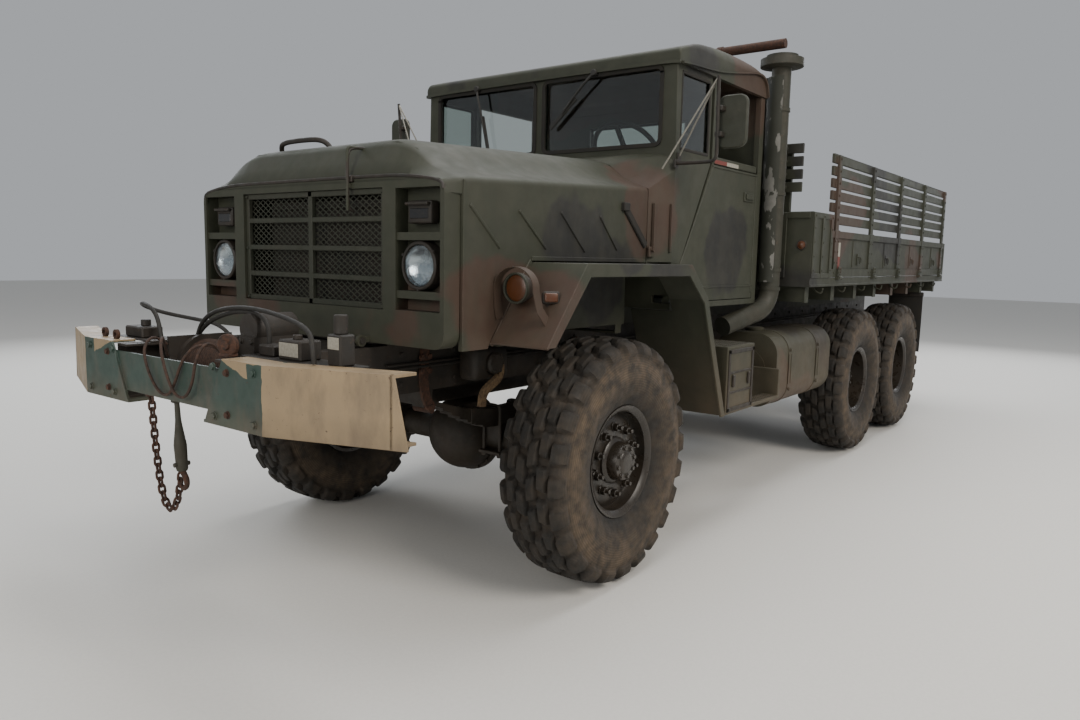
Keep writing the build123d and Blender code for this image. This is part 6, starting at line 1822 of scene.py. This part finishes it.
shield_bolts = bolts([(stack_at[0] + 0.0265, y, z) for y in (0.835, 0.913)
    for z in np.arange(1.46, 2.84, 0.15)], (1, 0, 0), 0.013, 0.005)
piece("intake_fittings", join(*clamps, wing_nut, shield_bolts), stack_paint)
piece("stack_shield", relief(*shell), peeled_paint)
muffler_rings = [hoop(0.014, 0.0945, 0.101, (-2.13, 0.33, z), (0, 0, 1), 40) for z in (1.42, 1.62, 2.1, 2.48)]
muffler_caps = [turned([(0.0, 0.094), (0.022, 0.07), (0.04, 0.033), (0.044, 0.032)], (-2.13, 0.33, 2.5),
    (0, 0, 1), 36), turned([(0.0, 0.094), (0.022, 0.07), (0.04, 0.033), (0.044, 0.032)], (-2.13, 0.33, 1.4),
    (0, 0, -1), 36)]
tail_clamp = hoop(0.018, 0.031, 0.038, (-2.13, 0.56, 3.08), (0, 1, 0), 28)
piece("exhaust_fittings", join(*muffler_rings, *muffler_caps, tail_clamp), rusty_steel)
print("stack and muffler clamps:", len(clamps) + len(muffler_rings))

# %% [markdown]
# ## Engine bay
# With the hood tipped, a long in-line diesel shows: three rocker housings on the head, a log-shaped exhaust
# manifold with a stub to each cylinder on the left, the intake log on the right with its pipe to the air
# cleaner, two oil filters, and the belt-driven fan behind the radiator. The CAD block stays the body of it,
# and these castings, each a rounded box, a tube along a curve or a turned shape, cover its flat faces.

# %% Engine castings
head_top = 1.8
cylinders = np.linspace(-0.455, 0.455, 6)
housing_x = np.array([-0.34, 0.0, 0.34])
housings = soft_boxes([(x, 0.0, head_top + 0.05) for x in housing_x], (0.155, 0.132, 0.048), 0.026, 3)
flanges = soft_boxes([(x, 0.0, head_top + 0.006) for x in housing_x], (0.165, 0.16, 0.008), 0.004)
head_rails = slabs([(-0.548, 0.548, side * 0.245 - 0.04, side * 0.245 + 0.04, head_top - 0.004,
    head_top + 0.022) for side in (-1, 1)], 0.008)
side_covers = soft_boxes([(x, side * 0.32, 1.43) for x in cylinders for side in (-1, 1)],
    (0.066, 0.012, 0.12), 0.008)
filler = turned([(-0.01, 0.0), (-0.01, 0.034), (0.02, 0.034), (0.024, 0.042), (0.044, 0.042), (0.048, 0.036),
    (0.048, 0.0)], (0.06, 0.05, head_top + 0.098), (0, 0, 1), 24)
piece("engine_castings", join(housings, flanges, head_rails, side_covers, filler), stack_paint)
flange_bolts = [(x + shift, side * 0.147, head_top + 0.014) for x in housing_x
    for shift in (-0.125, 0.0, 0.125) for side in (-1, 1)]
head_bolts = [(x, side * 0.262, head_top + 0.022) for x in np.linspace(-0.51, 0.51, 9) for side in (-1, 1)]
piece("engine_bolts",
    join(bolts(flange_bolts, (0, 0, 1), 0.015, 0.012), bolts(head_bolts, (0, 0, 1), 0.022, 0.016)),
    rusty_steel)
exhaust_y = 0.392
stubs = rods([(x, 0.312, 1.722) for x in cylinders], [(x, exhaust_y, 1.694) for x in cylinders], 0.028, 16)
pads = soft_boxes([(x, 0.324, 1.72) for x in cylinders], (0.046, 0.009, 0.048), 0.006)
log_line = smooth_line([(0.5, exhaust_y, 1.69), (0.1, exhaust_y, 1.69), (-0.3, exhaust_y, 1.69),
    (-0.47, exhaust_y, 1.67), (-0.505, exhaust_y, 1.52), (-0.505, 0.38, 1.26)], 48)
collars = rods([(x - 0.014, exhaust_y, 1.69) for x in (-0.15, 0.18)],
    [(x + 0.014, exhaust_y, 1.69) for x in (-0.15, 0.18)], 0.054, 24)
piece("exhaust_manifold", join(stubs, pads, pipe(log_line, 0.044, 20, (0, 1, 0)), collars), rusty_steel)
intake_log = soft_boxes([(0.0, -0.388, 1.702)], (0.49, 0.034, 0.046), 0.026, 3)
intake_stubs = soft_boxes([(x, -0.334, 1.702) for x in cylinders], (0.034, 0.03, 0.03), 0.01, 2)
air_line = smooth_line([(0.15, -0.388, 1.735), (0.15, -0.388, 1.87), (-0.1, -0.4, 1.925),
    (-0.5, -0.47, 1.93), (-0.79, -0.52, 1.93)], 40)
piece("engine_intake", join(intake_log, intake_stubs, pipe(air_line, 0.046, 20, (0, 1, 0))), mesh_paint)
filter_x = (0.15, 0.3)
cans = rods([(x, -0.384, 1.27) for x in filter_x], [(x, -0.384, 1.5) for x in filter_x], 0.052, 28, 0.2)
can_heads = soft_boxes([(0.225, -0.366, 1.515)], (0.15, 0.056, 0.024), 0.01)
piece("oil_filters", join(cans, can_heads), cab_black)
print("engine castings and bolts:", len(flange_bolts) + len(head_bolts))

# %% Fan, belts and radiator tanks
fan_z, crank_z, belt_x = 1.52, 1.3, 0.6
hub = turned([(-0.11, 0.0), (-0.11, 0.05), (-0.062, 0.052), (-0.06, 0.092), (-0.052, 0.084), (-0.044, 0.092),
    (-0.036, 0.092), (-0.034, 0.045), (0.03, 0.045), (0.034, 0.0)], (belt_x + 0.05, 0.0, fan_z), (1, 0, 0),
    40)
crank = turned([(-0.06, 0.0), (-0.06, 0.11), (-0.052, 0.112), (-0.046, 0.102), (-0.038, 0.112),
    (0.006, 0.112), (0.01, 0.06), (0.02, 0.055), (0.022, 0.0)], (belt_x + 0.05, 0.0, crank_z), (1, 0, 0), 40)
blades = []
for turn in np.arange(6) * np.pi / 3 + 0.3:
    outward = np.array([0.0, np.cos(turn), np.sin(turn)])
    chord = np.array([0.44, -0.898 * np.sin(turn), 0.898 * np.cos(turn)])
    blades.append(plate([(0.04, -0.026), (0.235, -0.052), (0.25, 0.04), (0.04, 0.026)], (0.672, 0.0, fan_z),
        outward, chord, 0.004))
lower = np.linspace(np.pi, 2 * np.pi, 20)
upper = np.linspace(0, np.pi, 20)
belt_line = np.concatenate([np.column_stack([0.113 * np.cos(lower), crank_z + 0.113 * np.sin(lower)]),
    np.column_stack([0.093 * np.cos(upper), fan_z + 0.093 * np.sin(upper)])])
belt_line = np.column_stack([np.full(40, belt_x + 0.003), belt_line])
belt = np.concatenate([belt_line, belt_line[:1]])
piece("cooling_fan", join(hub, crank, *blades), chassis_paint)
piece("fan_belt", ribbon(belt, 0.016, 0.01, (1, 0, 0)), flap_rubber)
tanks = slabs([(0.808, 0.892, -0.436, 0.436, 1.806, 1.874), (0.808, 0.892, -0.436, 0.436, 1.204, 1.262)],
    0.018)
cap_neck = turned([(-0.01, 0.0), (-0.01, 0.028), (0.014, 0.028), (0.016, 0.036), (0.03, 0.036),
    (0.034, 0.026), (0.036, 0.0)], (0.85, -0.16, 1.874), (0, 0, 1), 24)
coolant_line = smooth_line([(0.52, 0.205, 1.79), (0.53, 0.205, 1.905), (0.64, 0.205, 1.915),
    (0.8, 0.205, 1.915), (0.85, 0.205, 1.86)], 32)
piece("radiator_tanks", join(tanks, cap_neck, pipe(coolant_line, 0.026, 16, (0, 1, 0))), chassis_paint)
print("fan blades:", len(blades))
